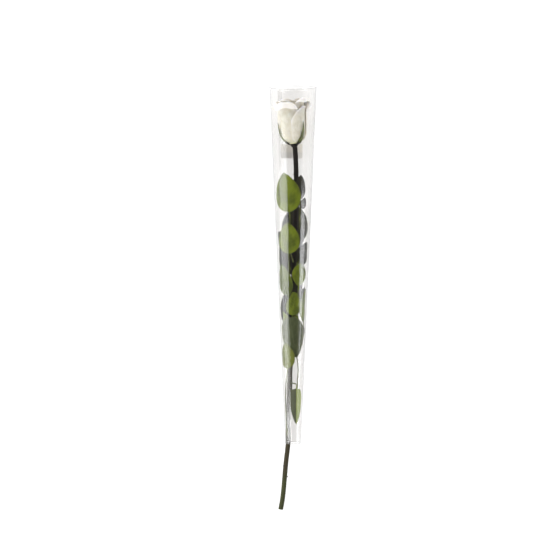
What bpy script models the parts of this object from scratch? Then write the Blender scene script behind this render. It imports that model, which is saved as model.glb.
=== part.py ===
"""A preserved white rose on its long stem, lying in a clear tapered sleeve.

The rose is modelled upright: +Z runs up the sleeve's axis from its narrow mouth at height 0, +X is to
the right, and the side that faces the viewer is -Y. One empty then lays the whole on its back, so that
the sleeve rests along one flat of its wall, the bloom points to +Y, and the viewer's side looks up.

Angles round the sleeve are in degrees: 0 is its right side, 90 the viewer's side, 180 its left side and
270 the side that lies on the surface. Lengths are in metres.
"""

import math
import random
from dataclasses import dataclass

import bmesh
import bpy
from mathutils import Matrix, Vector

MERGE = 1e-6
PATH_SAMPLES = 400
HALVINGS = 30

# Sleeve: an open cone rolled from clear sheet, with the lap of its seam on the outside
SLEEVE_LENGTH = 0.475
SLEEVE_NARROW_RADIUS = 0.0107
SLEEVE_WIDE_RADIUS = 0.0317
SLEEVE_WALL = 0.0004
SLEEVE_SIDES = 40
SEAM_ANGLE = 236
SEAM_WIDTH = 0.007
SEAM_PROUD = 0.0003
SEAM_SUNK = 0.0002
SEAM_END_MARGIN = 0.0006
SEAM_COLUMNS = 4
SEAM_ROWS = 8

# Label: a small blank rectangle on the sleeve's rear wall, behind the stem
LABEL_ANGLE = 266
LABEL_WIDTH = 0.0315
LABEL_FOOT = 0.3815
LABEL_TOP = 0.4005
LABEL_THICKNESS = 0.0003
LABEL_DEPTH = 0.0006
LABEL_COLUMNS = 8

# Stem: points (right, back, up) of its centre line, from the cut end to the calyx
STEM_RADIUS = 0.0033
STEM_STEP = 0.0125
STEM_BEVEL = 3
STEM_ROUTE = (
    (-0.0163, 0.0035, -0.0897),
    (-0.0131, 0.0027, -0.069),
    (-0.0096, 0.0012, -0.029),
    (-0.0065, 0.0003, 0.0),
    (-0.0062, 0.0003, 0.03),
    (-0.0053, 0.0005, 0.057),
    (-0.0040, 0.0006, 0.095),
    (-0.0007, 0.0010, 0.19),
    (0.0026, 0.0018, 0.284),
    (0.0043, 0.0024, 0.355),
    (0.0027, 0.0026, 0.3959),
)
JOINT_SWELL = 0.14
JOINT_REACH = 0.006

# Thorns: small, trimmed in drying, each turned on from the one below as leaves are
THORN_HEIGHTS = (-0.045, -0.030, 0.034, 0.088, 0.143, 0.201, 0.231, 0.302, 0.331, 0.360)
THORN_TURN = 137.5
THORN_SCATTER = 20
THORN_LENGTH = 0.0028
THORN_ROOT = 0.0015
THORN_TIP_SHARE = 0.16
THORN_SINK = 0.0012
THORN_DROOP = 0.5
THORN_SIDES = 5
THORN_SEED = 5

# Bloom: its foot and top (right, back, up), the (radius, height) profile of its heart, and how
# a petal opens, tilts and rounds off, in shares of its height
BLOOM_FOOT = Vector((0.0016, 0.0026, 0.400))
BLOOM_TOP = Vector((-0.0024, 0.0022, 0.461))
HEART_PROFILE = (
    (0.0, 0.0340),
    (0.0040, 0.0332),
    (0.0078, 0.0302),
    (0.0100, 0.0260),
    (0.0112, 0.0200),
    (0.0108, 0.0120),
    (0.0098, 0.0060),
    (0.0086, 0.0030),
    (0.0074, 0.0003),
    (0.0, 0.0003),
)
HEART_STEPS = 12
PETAL_THICKNESS = 0.0007
PETAL_ROOT_SPAN = 0.5
PETAL_OPENS_BY = 0.45
PETAL_TILTS_BY = 0.3
PETAL_ROUND_TOP = 0.13
PETAL_ROUND_POWER = 2.5
PETAL_MOST_CURL = 165
PETAL_LIP_TAPER = 0.75
PETAL_CLEARANCE = 0.001

# Calyx: the (radius, height) profile of the hip under the bloom, and the (height, radius) path of its sepals
HIP_PROFILE = (
    (0.0, -0.0002),
    (0.0045, -0.0002),
    (0.0048, -0.0012),
    (0.0045, -0.0024),
    (0.0037, -0.0034),
    (0.0, -0.0034),
)
HIP_STEPS = 14
SEPAL_ANGLES = (160, 206, 258, 312, 52)
SEPAL_THICKNESS = 0.0008
SEPAL_WIDTH = 0.0066
SEPAL_ROOT_WIDTH = 0.45
SEPAL_SPREAD = 0.8
SEPAL_WIDE_FROM = 0.4
SEPAL_TIP_POWER = 0.7
SEPAL_COLUMNS = 2
SEPAL_ROWS = 8
SEPAL_PATH = (
    (-0.0020, 0.0030),
    (-0.0004, 0.0074),
    (0.0030, 0.0124),
    (0.0080, 0.0175),
    (0.0140, 0.0200),
    (0.0210, 0.0209),
    (0.0290, 0.0213),
)

# Leaf blades: shares are of the blade's length
BLADE_THICKNESS = 0.0007
BLADE_ROWS = 11
BLADE_COLUMNS = 4
BLADE_STALK = 0.0045
BLADE_STALK_HALF_WIDTH = 0.0007
BLADE_TOOTH = 0.0008
BLADE_FOLD = 0.0006
BLADE_WAVE = 0.00012
BLADE_RIPPLES = 420
BLADE_RIPPLE_SHIFT = 900
BLADE_RIPPLE_SKEW = 2.2
BLADE_RIPPLES_FROM = 0.002
BLADE_STRAIGHTENS = 0.35
BLADE_SINK = 0.002
BLADE_ASIDE = 0.0005

# Leaf stalks: thin tubes that start a hair off the stem
STALK_RADIUS = 0.00085
STALK_BEVEL = 1
STALK_STEP = 0.007
STALK_SHORT_STEP = 0.0035
STALK_SHORT_KNOTS = 3
STALK_GAP = 0.00098
STALK_LIFT = 0.0012

# Depths of the blades inside the sleeve's inner wall, so that layers of leaves clear each other
OUTER = 0.00105
MIDDLE = 0.0026
INNER = 0.0044


@dataclass(frozen=True)
class Leaflet:
    """One blade: the height where it leaves the leaf's stalk, its heading off straight up and its size.

    It reaches its depth inside the wall at settles_by, a share of its length, and is widest at another.
    """

    at: float
    heading: float
    length: float
    width: float
    depth: float
    widest: float = 0.40
    tip_power: float = 0.80
    settles_by: float = 0.34


@dataclass(frozen=True)
class Leaf:
    """One compound leaf, whose stalk leaves the stem at a joint and runs through (height, angle, depth)."""

    name: str
    joint: float
    angle: float
    stalk: tuple
    leaflets: tuple


LEAVES = (
    Leaf(
        "leaf_1", 0.270, 60,
        ((0.290, 60, 0.0062), (0.306, 61, 0.0054), (0.322, 62, 0.0050)),
        (
            Leaflet(0.322, 0, 0.032, 0.016, INNER),
            Leaflet(0.3105, 50, 0.026, 0.016, MIDDLE + 0.0010),
            Leaflet(0.310, -30, 0.016, 0.011, INNER + 0.0008),
        ),
    ),
    Leaf(
        "leaf_2", 0.242, 105,
        ((0.260, 105, 0.0060), (0.275, 104, 0.0048), (0.290, 103, 0.0040), (0.305, 102, 0.0030)),
        (
            Leaflet(0.305, 9, 0.052, 0.038, OUTER),
            Leaflet(0.262, 55, 0.026, 0.019, MIDDLE),
            Leaflet(0.2632, -50, 0.026, 0.019, MIDDLE),
        ),
    ),
    Leaf(
        "leaf_3", 0.204, 281,
        ((0.222, 281, 0.0056), (0.240, 281, 0.0040), (0.264, 281, 0.0030)),
        (
            Leaflet(0.264, 0, 0.050, 0.040, OUTER),
            Leaflet(0.223, -34, 0.046, 0.030, MIDDLE),
            Leaflet(0.2375, 42, 0.034, 0.024, MIDDLE),
        ),
    ),
    Leaf(
        "leaf_4", 0.172, 112,
        ((0.186, 112, 0.0056), (0.200, 112, 0.0042), (0.225, 110, 0.0040), (0.250, 108, 0.0030)),
        (
            Leaflet(0.250, 0, 0.041, 0.031, OUTER),
            Leaflet(0.195, 18, 0.038, 0.020, OUTER + 0.0002),
            Leaflet(0.1965, -48, 0.026, 0.016, INNER + 0.0010),
        ),
    ),
    Leaf(
        "leaf_5", 0.148, 62,
        ((0.165, 62, 0.0058), (0.178, 63, 0.0046), (0.191, 64, 0.0034), (0.2065, 66, 0.0029)),
        (
            Leaflet(0.2065, -4, 0.031, 0.021, OUTER, widest=0.52),
            Leaflet(0.186, 28, 0.015, 0.012, MIDDLE + 0.0006),
            Leaflet(0.1872, -50, 0.026, 0.018, MIDDLE + 0.0012),
        ),
    ),
    Leaf(
        "leaf_6", 0.126, 96,
        ((0.142, 96, 0.0060), (0.156, 96, 0.0050), (0.168, 96, 0.0038)),
        (
            Leaflet(0.168, -9, 0.0285, 0.0210, OUTER),
            Leaflet(0.157, 58, 0.026, 0.016, INNER),
            Leaflet(0.1578, -30, 0.012, 0.009, MIDDLE + 0.0003),
        ),
    ),
    Leaf(
        "leaf_7", 0.106, 236,
        ((0.121, 238, 0.0044), (0.136, 240, 0.0034), (0.155, 244, 0.0028)),
        (
            Leaflet(0.155, 0, 0.043, 0.027, OUTER),
            Leaflet(0.139, -50, 0.022, 0.016, MIDDLE),
            Leaflet(0.1402, 50, 0.026, 0.017, MIDDLE + 0.0004),
        ),
    ),
    Leaf(
        "leaf_8", 0.122, 0,
        ((0.129, -16, 0.0062), (0.136, 2.5, 0.0037), (0.158, 8, 0.0032)),
        (
            Leaflet(0.158, 3, 0.045, 0.025, OUTER + 0.0012),
            Leaflet(0.136, -50, 0.028, 0.018, OUTER + 0.0003),
            Leaflet(0.1372, 40, 0.016, 0.012, INNER + 0.0004),
        ),
    ),
    Leaf(
        "leaf_9", 0.070, 45,
        ((0.075, 52, 0.0050), (0.086, 54, 0.0040), (0.098, 51, 0.0036), (0.112, 60, 0.0036)),
        (Leaflet(0.112, 15, 0.055, 0.033, OUTER, widest=0.60, tip_power=0.46, settles_by=0.80),),
    ),
    Leaf(
        "leaf_10", 0.010, 108,
        (
            (0.024, 149, 0.0016), (0.045, 152, 0.0016), (0.066, 150, 0.0017),
            (0.084, 140, 0.0022), (0.097, 129, 0.0024),
        ),
        (Leaflet(0.097, 0, 0.034, 0.024, OUTER),),
    ),
    Leaf(
        "leaf_11", 0.0806, 78,
        ((0.0810, 74, 0.0054), (0.0808, 70, 0.0036), (0.0790, 66, 0.0024)),
        (Leaflet(0.0790, 180, 0.0480, 0.0180, OUTER, widest=0.26),),
    ),
)


@dataclass(frozen=True)
class Top:
    """How a petal ends: how far below its layer, how much more at one side, and its lip's length and curl."""

    drop: float = 0.0
    slope: float = 0.0
    lip: float = 0.004
    curl: float = 0.0020


@dataclass(frozen=True)
class Whorl:
    """One layer of petals, laid like tiles round the heart. Its profile is (height, radius) up a petal."""

    first_angle: float
    half_span: float
    tilt: float
    roll: float
    columns: int
    body_rows: int
    lip_rows: int
    profile: tuple
    tops: tuple


WHORLS = (
    Whorl(
        262, 51, 0.0009, 0.0012, 6, 5, 3,
        (
            (0.0012, 0.0056), (0.0028, 0.0095), (0.0060, 0.0135), (0.0110, 0.0163),
            (0.0200, 0.0176), (0.0310, 0.0181), (0.0420, 0.0184), (0.0524, 0.0188),
        ),
        (
            Top(lip=0.0110, curl=0.0034), Top(drop=0.002, lip=0.0135, curl=0.0042),
            Top(drop=0.0053, slope=0.0041, lip=0.0030), Top(lip=0.0150, curl=0.0026),
            Top(drop=0.001, lip=0.0135, curl=0.0036),
        ),
    ),
    Whorl(
        246, 51, 0.0008, 0.0008, 5, 3, 3,
        (
            (0.0080, 0.0078), (0.0110, 0.0125), (0.0200, 0.0150),
            (0.0320, 0.0160), (0.0440, 0.0166), (0.0556, 0.0170),
        ),
        (Top(), Top(lip=0.0080, curl=0.0026), Top(lip=0.0140, curl=0.0040), Top(), Top()),
    ),
    Whorl(
        262, 50, 0.0007, 0.0008, 4, 2, 1,
        ((0.0160, 0.0088), (0.0215, 0.0118), (0.0300, 0.0130), (0.0430, 0.0138), (0.0577, 0.0150)),
        (Top(lip=0.0030),) * 5,
    ),
    Whorl(
        205, 62, 0.0006, 0.0006, 5, 1, 1,
        ((0.0220, 0.0076), (0.0280, 0.0094), (0.0410, 0.0104), (0.0573, 0.0116)),
        (Top(lip=0.0025, curl=0.0024),) * 4,
    ),
    Whorl(
        290, 84, 0.0006, 0.0005, 5, 1, 1,
        ((0.0270, 0.0056), (0.0320, 0.0068), (0.0430, 0.0076), (0.0563, 0.0082)),
        (Top(lip=0.0020, curl=0.0030),) * 3,
    ),
    Whorl(
        30, 118, 0.0005, 0.0002, 7, 1, 1,
        ((0.0300, 0.0036), (0.0400, 0.0045), (0.0550, 0.0049)),
        (Top(lip=0.0010, curl=0.0040),) * 2,
    ),
    Whorl(
        120, 135, 0.0004, 0.0001, 6, 1, 1,
        ((0.0305, 0.0018), (0.0400, 0.0021), (0.0526, 0.0022)),
        (Top(lip=0.0006, curl=0.0040),),
    ),
)


def smooth(share):
    """A share from 0 to 1, eased at both ends and held outside them."""
    held = min(1.0, max(0.0, share))
    return held * held * (3 - 2 * held)


def outward(angle):
    """The level direction at an angle in degrees round the sleeve."""
    turn = math.radians(angle)
    return Vector((math.cos(turn), -math.sin(turn), 0))


def spline_point(points, place):
    """The point at place, from 0 to 1, of a Catmull-Rom curve through points."""
    spans = len(points) - 1
    span = min(spans - 1, int(place * spans))
    t = place * spans - span
    before, start, end, after = (Vector(points[min(spans, max(0, span + k))]) for k in (-1, 0, 1, 2))
    return 0.5 * (
        2 * start
        + t * (end - before)
        + t * t * (2 * before - 5 * start + 4 * end - after)
        + t * t * t * (3 * start - before - 3 * end + after)
    )


def even_path(points, step):
    """Points about a step apart along the smooth curve through points."""
    samples = PATH_SAMPLES
    fine = [spline_point(points, k / samples) for k in range(samples + 1)]
    lengths = [0.0]
    for a, b in zip(fine, fine[1:]):
        lengths.append(lengths[-1] + (b - a).length)
    count = max(2, round(lengths[-1] / step))
    path = []
    k = 0
    for wanted in (lengths[-1] * n / count for n in range(count + 1)):
        while k < samples - 1 and lengths[k + 1] < wanted:
            k += 1
        share = (wanted - lengths[k]) / (lengths[k + 1] - lengths[k])
        path.append(fine[k].lerp(fine[k + 1], min(1.0, share)))
    return path


def inner_radius(height):
    """The radius inside the sleeve's wall at a height up its axis."""
    slope = (SLEEVE_WIDE_RADIUS - SLEEVE_NARROW_RADIUS) / SLEEVE_LENGTH
    return SLEEVE_NARROW_RADIUS + slope * height - SLEEVE_WALL


def wall_point(height, angle, depth):
    """The point that lies depth inside the sleeve's inner wall, at a height and an angle in degrees."""
    return outward(angle) * (inner_radius(height) - depth) + Vector((0, 0, height))


def held(point, clearance):
    """A point, drawn in towards the axis where it is nearer to the sleeve's wall than a clearance."""
    limit = inner_radius(point.z) - clearance
    out = Vector((point.x, point.y, 0))
    if out.length <= limit:
        return point
    return out * (limit / out.length) + Vector((0, 0, point.z))


def new_object(name, mesh, collection):
    """A mesh object in a collection."""
    thing = bpy.data.objects.new(name, mesh)
    collection.objects.link(thing)
    return thing


def new_collection(name):
    """A collection linked to the scene."""
    made = bpy.data.collections.new(name)
    bpy.context.scene.collection.children.link(made)
    return made


def shaped_grid(name, columns, rows, place, collection):
    """A grid whose points are set by place(across, row), across from -1 to 1. Points that meet are merged."""
    form = bmesh.new()
    bmesh.ops.create_grid(form, x_segments=columns, y_segments=rows, size=1)
    for point in form.verts:
        row = round((point.co.y + 1) / 2 * rows)
        point.co = place(point.co.x, row)
    bmesh.ops.remove_doubles(form, verts=form.verts, dist=MERGE)
    bmesh.ops.triangulate(form, faces=form.faces)
    mesh = bpy.data.meshes.new(name)
    form.to_mesh(mesh)
    form.free()
    return new_object(name, mesh, collection)


def thicken(thing, thickness, side):
    """Gives an open surface its thickness: side 0 is on both faces, -1 behind them."""
    wall = thing.modifiers.new("Thickness", "SOLIDIFY")
    wall.thickness = thickness
    wall.offset = side


def bake(thing):
    """Replaces a curve or mesh by the triangles that its modifiers make, with touching points merged."""
    graph = bpy.context.evaluated_depsgraph_get()
    mesh = bpy.data.meshes.new_from_object(thing.evaluated_get(graph))
    form = bmesh.new()
    form.from_mesh(mesh)
    bmesh.ops.remove_doubles(form, verts=form.verts, dist=MERGE)
    idle = [point for point in form.verts if len(point.link_edges) == 2]
    bmesh.ops.dissolve_verts(form, verts=idle)
    bmesh.ops.triangulate(form, faces=form.faces)
    form.to_mesh(mesh)
    form.free()
    name = thing.name
    owner = thing.users_collection[0]
    place = thing.matrix_world.copy()
    bpy.data.objects.remove(thing)
    made = new_object(name, mesh, owner)
    made.matrix_world = place
    return made


def join(base, pieces):
    """Fuses the pieces in a collection to a base with one Boolean union, and removes them."""
    for piece in list(pieces.objects):
        bake(piece)
    base = bake(base)
    union = base.modifiers.new("Join", "BOOLEAN")
    union.operation = "UNION"
    union.operand_type = "COLLECTION"
    union.collection = pieces
    whole = bake(base)
    for piece in list(pieces.objects):
        bpy.data.objects.remove(piece)
    bpy.data.collections.remove(pieces)
    return whole


def tube(name, points, radii, resolution, collection):
    """A closed round tube through points, with a radius at each, as a mesh."""
    line = bpy.data.curves.new(name, "CURVE")
    line.dimensions = "3D"
    line.bevel_depth = 1.0
    line.bevel_resolution = resolution
    line.use_fill_caps = True
    spline = line.splines.new("POLY")
    spline.points.add(len(points) - 1)
    for knot, point, radius in zip(spline.points, points, radii):
        knot.co = (*point, 1)
        knot.radius = radius
    return bake(new_object(name, line, collection))


def turned(name, profile, steps, collection):
    """A solid turned round Z from a profile of (radius, height) that runs down its outer side."""
    form = bmesh.new()
    points = [form.verts.new((radius, 0, height)) for radius, height in profile]
    for a, b in zip(points, points[1:]):
        form.edges.new((a, b))
    mesh = bpy.data.meshes.new(name)
    form.to_mesh(mesh)
    form.free()
    thing = new_object(name, mesh, collection)
    screw = thing.modifiers.new("Turn", "SCREW")
    screw.steps = screw.render_steps = steps
    screw.use_merge_vertices = True
    screw.merge_threshold = MERGE
    return thing


def finish(thing, sharp_angle, material_name, colour, roughness, alpha=1.0):
    """Shades an object smooth up to a sharp angle in degrees, and gives it its own Principled material."""
    thing.data.shade_smooth()
    thing.data.set_sharp_from_angle(angle=math.radians(sharp_angle))
    made = bpy.data.materials.new(material_name)
    made.use_nodes = True
    shader = made.node_tree.nodes["Principled BSDF"]
    shader.inputs["Base Color"].default_value = (*colour, 1)
    shader.inputs["Roughness"].default_value = roughness
    shader.inputs["Metallic"].default_value = 0
    shader.inputs["Alpha"].default_value = alpha
    thing.data.materials.clear()
    thing.data.materials.append(made)
    return thing


def make_sleeve(rose):
    """The open cone with a flat of its wall to the back, and its lap seam raised on the outside."""
    bpy.ops.mesh.primitive_cone_add(
        vertices=SLEEVE_SIDES,
        radius1=SLEEVE_NARROW_RADIUS,
        radius2=SLEEVE_WIDE_RADIUS,
        depth=SLEEVE_LENGTH,
        end_fill_type="NOTHING",
        location=(0, 0, SLEEVE_LENGTH / 2),
        rotation=(0, 0, math.pi / SLEEVE_SIDES),
    )
    sleeve = bpy.context.object
    sleeve.name = "sleeve"
    for owner in list(sleeve.users_collection):
        owner.objects.unlink(sleeve)
    rose.objects.link(sleeve)
    thicken(sleeve, SLEEVE_WALL, -1)

    def place(across, row):
        height = SEAM_END_MARGIN + (SLEEVE_LENGTH - 2 * SEAM_END_MARGIN) * row / SEAM_ROWS
        outside = inner_radius(height) + SLEEVE_WALL
        half_angle = math.degrees(SEAM_WIDTH / 2 / outside)
        middle_of_lap = SLEEVE_WALL + (SEAM_PROUD - SEAM_SUNK) / 2
        return wall_point(height, SEAM_ANGLE + across * half_angle, -middle_of_lap)

    laps = new_collection("laps")
    thicken(shaped_grid("lap", SEAM_COLUMNS, SEAM_ROWS, place, laps), SEAM_PROUD + SEAM_SUNK, 0)
    return finish(join(sleeve, laps), 40, "clear_sheet", (0.93, 0.95, 0.96), 0.08, 0.2)


def make_label(rose):
    """The blank label, curved to the sleeve's rear wall."""

    def place(across, row):
        height = LABEL_TOP if row else LABEL_FOOT
        half_angle = math.degrees(LABEL_WIDTH / 2 / inner_radius(height))
        return wall_point(height, LABEL_ANGLE + across * half_angle, LABEL_DEPTH)

    label = shaped_grid("label", LABEL_COLUMNS, 1, place, rose)
    thicken(label, LABEL_THICKNESS, 0)
    return finish(bake(label), 40, "label_paper", (0.62, 0.61, 0.59), 0.7)


def stem_centre(height):
    """The stem's centre at a height."""
    low = 0.0
    high = 1.0
    for _ in range(HALVINGS):
        middle = (low + high) / 2
        if spline_point(STEM_ROUTE, middle).z < height:
            low = middle
        else:
            high = middle
    return spline_point(STEM_ROUTE, low)


def stem_radius(height):
    """The stem's radius at a height, swollen a little at each joint that bears a leaf."""
    swell = sum(math.exp(-(((height - leaf.joint) / JOINT_REACH) ** 2)) for leaf in LEAVES)
    return STEM_RADIUS * (1 + JOINT_SWELL * min(1.0, swell))


def make_stem(rose):
    """The stem's tube with its thorns fused on."""
    path = even_path(STEM_ROUTE, STEM_STEP)
    stem = tube("stem", path, [stem_radius(point.z) for point in path], STEM_BEVEL, rose)
    thorns = new_collection("thorns")
    draw = random.Random(THORN_SEED)
    length = THORN_LENGTH + THORN_SINK
    for k, height in enumerate(THORN_HEIGHTS):
        out = outward(THORN_TURN * k + draw.uniform(-THORN_SCATTER, THORN_SCATTER))
        aim = (out + Vector((0, 0, -THORN_DROOP))).normalized()
        middle = stem_centre(height) + out * (STEM_RADIUS - THORN_SINK) + aim * length / 2
        form = bmesh.new()
        bmesh.ops.create_cone(
            form,
            cap_ends=True,
            segments=THORN_SIDES,
            radius1=THORN_ROOT,
            radius2=THORN_ROOT * THORN_TIP_SHARE,
            depth=length,
            matrix=Matrix.Translation(middle) @ aim.to_track_quat("Z", "Y").to_matrix().to_4x4(),
        )
        mesh = bpy.data.meshes.new(f"thorn_{k}")
        form.to_mesh(mesh)
        form.free()
        new_object(f"thorn_{k}", mesh, thorns)
    return finish(join(stem, thorns), 50, "stem_bark", (0.045, 0.038, 0.022), 0.55)


def blade_half_width(leaflet, share):
    """The half width of a blade at a share of its length, as a share of its widest."""
    if share <= 0 or share >= 1:
        return 0.0
    beyond = 1 - leaflet.widest
    foot_power = leaflet.tip_power * leaflet.widest / beyond
    return (share / leaflet.widest) ** foot_power * ((1 - share) / beyond) ** leaflet.tip_power


def make_leaflet(name, leaflet, start, blades):
    """One toothed blade, folded along its rib, that follows the wall's curve from (height, angle, depth)."""
    whole = BLADE_STALK + leaflet.length
    heading = math.radians(leaflet.heading)
    bend = 0 if abs(leaflet.heading) > 90 else BLADE_STRAIGHTENS * heading / whole
    phase = leaflet.at * BLADE_RIPPLE_SHIFT

    def along_rib(distance):
        """How far the rib has gone (sideways, upwards) after a distance, and its heading there."""
        turned_by = heading - bend * distance
        if bend == 0:
            return distance * math.sin(heading), distance * math.cos(heading), turned_by
        sideways = (math.cos(turned_by) - math.cos(heading)) / bend
        upwards = (math.sin(heading) - math.sin(turned_by)) / bend
        return sideways, upwards, turned_by

    def place(across, row):
        share = max(0.0, (row - 1) / (BLADE_ROWS - 1))
        if row < 2:
            distance = BLADE_STALK * row
            half_width = BLADE_STALK_HALF_WIDTH
        else:
            distance = BLADE_STALK + leaflet.length * share
            half_width = leaflet.width / 2 * blade_half_width(leaflet, share)
            if row % 2 and abs(across) == 1 and share < 1:
                half_width += BLADE_TOOTH
                distance += BLADE_TOOTH
        sideways, upwards, turned_by = along_rib(distance)
        sideways += across * half_width * math.cos(turned_by)
        height = start[0] + upwards - across * half_width * math.sin(turned_by)
        settled = smooth(distance / (leaflet.settles_by * whole))
        depth = start[2] + (leaflet.depth - start[2]) * settled
        depth += BLADE_FOLD * (1 - abs(across)) * math.sin(math.pi * share)
        skew = BLADE_RIPPLE_SKEW * across * min(1.0, half_width / BLADE_RIPPLES_FROM)
        ripple = phase + BLADE_RIPPLES * distance + skew
        depth += BLADE_WAVE * settled * (1 + math.sin(ripple))
        angle = start[1] + math.degrees(sideways / (inner_radius(height) - depth))
        return wall_point(height, angle, depth)

    thicken(shaped_grid(name, BLADE_COLUMNS, BLADE_ROWS, place, blades), BLADE_THICKNESS, 0)


def along_stalk(leaf, height):
    """(height, angle, depth) of the leaf's stalk at a height, straight between the points of its route."""
    for (low, low_angle, low_depth), (high, high_angle, high_depth) in zip(leaf.stalk, leaf.stalk[1:]):
        if low <= height <= high:
            share = (height - low) / (high - low)
            angle = low_angle + share * (high_angle - low_angle)
            return height, angle, low_depth + share * (high_depth - low_depth)
    return leaf.stalk[-1]


def leaflet_start(leaf, leaflet):
    """Where a leaflet's own stalk starts: inside the end of the leaf's stalk, or a little beside it."""
    height, angle, depth = along_stalk(leaf, leaflet.at)
    if leaflet.at == leaf.stalk[-1][0]:
        back = -BLADE_SINK if leaflet.heading < 90 else BLADE_SINK
        return height + back, angle, depth
    aside = math.degrees(BLADE_ASIDE / (inner_radius(height) - depth))
    return height, angle + math.copysign(aside, leaflet.heading), depth


def make_leaf(leaf, rose):
    """One compound leaf: its stalk from the stem's joint, with the blades fused to it."""
    rises = leaf.stalk[0][0] > leaf.joint
    foot = stem_centre(leaf.joint) + outward(leaf.angle) * (stem_radius(leaf.joint) + STALK_GAP)
    foot.z += STALK_LIFT if rises else 0
    route = [foot] + [wall_point(*point) for point in leaf.stalk]
    path = even_path(route, STALK_STEP if len(route) > STALK_SHORT_KNOTS else STALK_SHORT_STEP)
    stalk = tube(leaf.name, path, [STALK_RADIUS] * len(path), STALK_BEVEL, rose)
    blades = new_collection(leaf.name + "_blades")
    for k, leaflet in enumerate(leaf.leaflets):
        make_leaflet(f"{leaf.name}_blade_{k}", leaflet, leaflet_start(leaf, leaflet), blades)
    return finish(join(stalk, blades), 50, leaf.name + "_green", (0.10, 0.16, 0.025), 0.45)


def curled(radius, distance):
    """How far (outwards, upwards) a petal's lip has gone after a distance round a curl of a radius."""
    most = math.radians(PETAL_MOST_CURL)
    turned = min(most, distance / radius)
    beyond = distance - radius * turned
    outwards = radius * (1 - math.cos(turned)) + beyond * math.sin(most)
    return outwards, radius * math.sin(turned) + beyond * math.cos(most)


def make_petal(name, whorl, number, petals):
    """One petal: a curved shell that widens from its root, rounded at its top, where its lip curls out."""
    stand = bloom_place()
    unstand = stand.inverted()
    top = whorl.tops[number]
    angle = whorl.first_angle + 360 * number / len(whorl.tops)
    tall = whorl.profile[-1][0] - whorl.profile[0][0]

    def place(across, row):
        side = abs(across)
        share = min(1.0, row / whorl.body_rows)
        short = PETAL_ROUND_TOP * side**PETAL_ROUND_POWER + (top.drop + top.slope * across) / tall
        profile = [(*point, 0) for point in whorl.profile]
        height, radius = spline_point(profile, share * (1 - max(0.0, short))).xy
        opened = smooth(share / PETAL_OPENS_BY)
        span = whorl.half_span * (PETAL_ROOT_SPAN + (1 - PETAL_ROOT_SPAN) * opened)
        radius += whorl.tilt * across * smooth(share / PETAL_TILTS_BY)
        radius += whorl.roll * max(0.0, across) ** 3 * share * share
        lip = max(0, row - whorl.body_rows) / whorl.lip_rows
        full = 1 - PETAL_LIP_TAPER * side**3
        outwards, upwards = curled(top.curl * math.sqrt(full), top.lip * full * lip)
        point = outward(angle + across * span) * (radius + outwards) + Vector((0, 0, height + upwards))
        return unstand @ held(stand @ point, PETAL_CLEARANCE)

    rows = whorl.body_rows + whorl.lip_rows
    thicken(shaped_grid(name, whorl.columns, rows, place, petals), PETAL_THICKNESS, 0)


def bloom_place():
    """The matrix that stands the bloom and its calyx on the stem, leaning as the bloom does."""
    lean = (BLOOM_TOP - BLOOM_FOOT).to_track_quat("Z", "Y").to_matrix().to_4x4()
    unturn = Matrix.Rotation(-lean.to_euler().z, 4, "Z")
    return Matrix.Translation(BLOOM_FOOT) @ lean @ unturn


def make_bloom(rose):
    """The heart with every petal's root sunk in it."""
    petals = new_collection("petals")
    for n, whorl in enumerate(WHORLS):
        for k in range(len(whorl.tops)):
            make_petal(f"petal_{n}_{k}", whorl, k, petals)
    bloom = join(turned("bloom", HEART_PROFILE, HEART_STEPS, rose), petals)
    bloom.matrix_world = bloom_place()
    return finish(bloom, 60, "white_petal", (0.86, 0.82, 0.72), 0.6)


def make_sepal(name, angle, sepals):
    """One pointed sepal that stands a little off the petals."""
    out = outward(angle)
    side = outward(angle + 90)

    def place(across, row):
        share = row / SEPAL_ROWS
        height, radius = spline_point([(*point, 0) for point in SEPAL_PATH], share).xy
        half_width = SEPAL_WIDTH / 2 * (1 - share) ** SEPAL_TIP_POWER
        half_width *= SEPAL_ROOT_WIDTH + SEPAL_SPREAD * smooth(share / SEPAL_WIDE_FROM)
        return out * radius + side * across * half_width + Vector((0, 0, height))

    thicken(shaped_grid(name, SEPAL_COLUMNS, SEPAL_ROWS, place, sepals), SEPAL_THICKNESS, 0)


def make_calyx(rose):
    """The hip with its five sepals."""
    sepals = new_collection("sepals")
    for k, angle in enumerate(SEPAL_ANGLES):
        make_sepal(f"sepal_{k}", angle, sepals)
    calyx = join(turned("calyx", HIP_PROFILE, HIP_STEPS, rose), sepals)
    calyx.matrix_world = bloom_place()
    return finish(calyx, 50, "sepal_green", (0.09, 0.12, 0.03), 0.55)


def lay_down(parts):
    """Lays the upright rose on its back along a flat of the sleeve, its origin under its middle."""
    flat = math.cos(math.pi / SLEEVE_SIDES)
    taper = math.atan((SLEEVE_WIDE_RADIUS - SLEEVE_NARROW_RADIUS) * flat / SLEEVE_LENGTH)
    lay = bpy.data.objects.new("lay", None)
    bpy.context.scene.collection.objects.link(lay)
    lay.rotation_euler = (taper - math.pi / 2, 0, 0)
    bpy.context.view_layer.update()
    corners = []
    for part in parts:
        place = lay.matrix_world @ part.matrix_world
        corners += [place @ point.co for point in part.data.vertices]
    lowest = [min(point[axis] for point in corners) for axis in range(3)]
    highest = [max(point[axis] for point in corners) for axis in range(3)]
    lay.location = (-(lowest[0] + highest[0]) / 2, -(lowest[1] + highest[1]) / 2, -lowest[2])
    for part in parts:
        part.parent = lay


def main():
    """Clears the scene, builds every part upright and lays the whole down."""
    for thing in list(bpy.data.objects):
        bpy.data.objects.remove(thing)
    rose = new_collection("rose_in_sleeve")
    parts = [make_sleeve(rose), make_label(rose), make_stem(rose), make_calyx(rose), make_bloom(rose)]
    parts += [make_leaf(leaf, rose) for leaf in LEAVES]
    lay_down(parts)


main()
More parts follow.
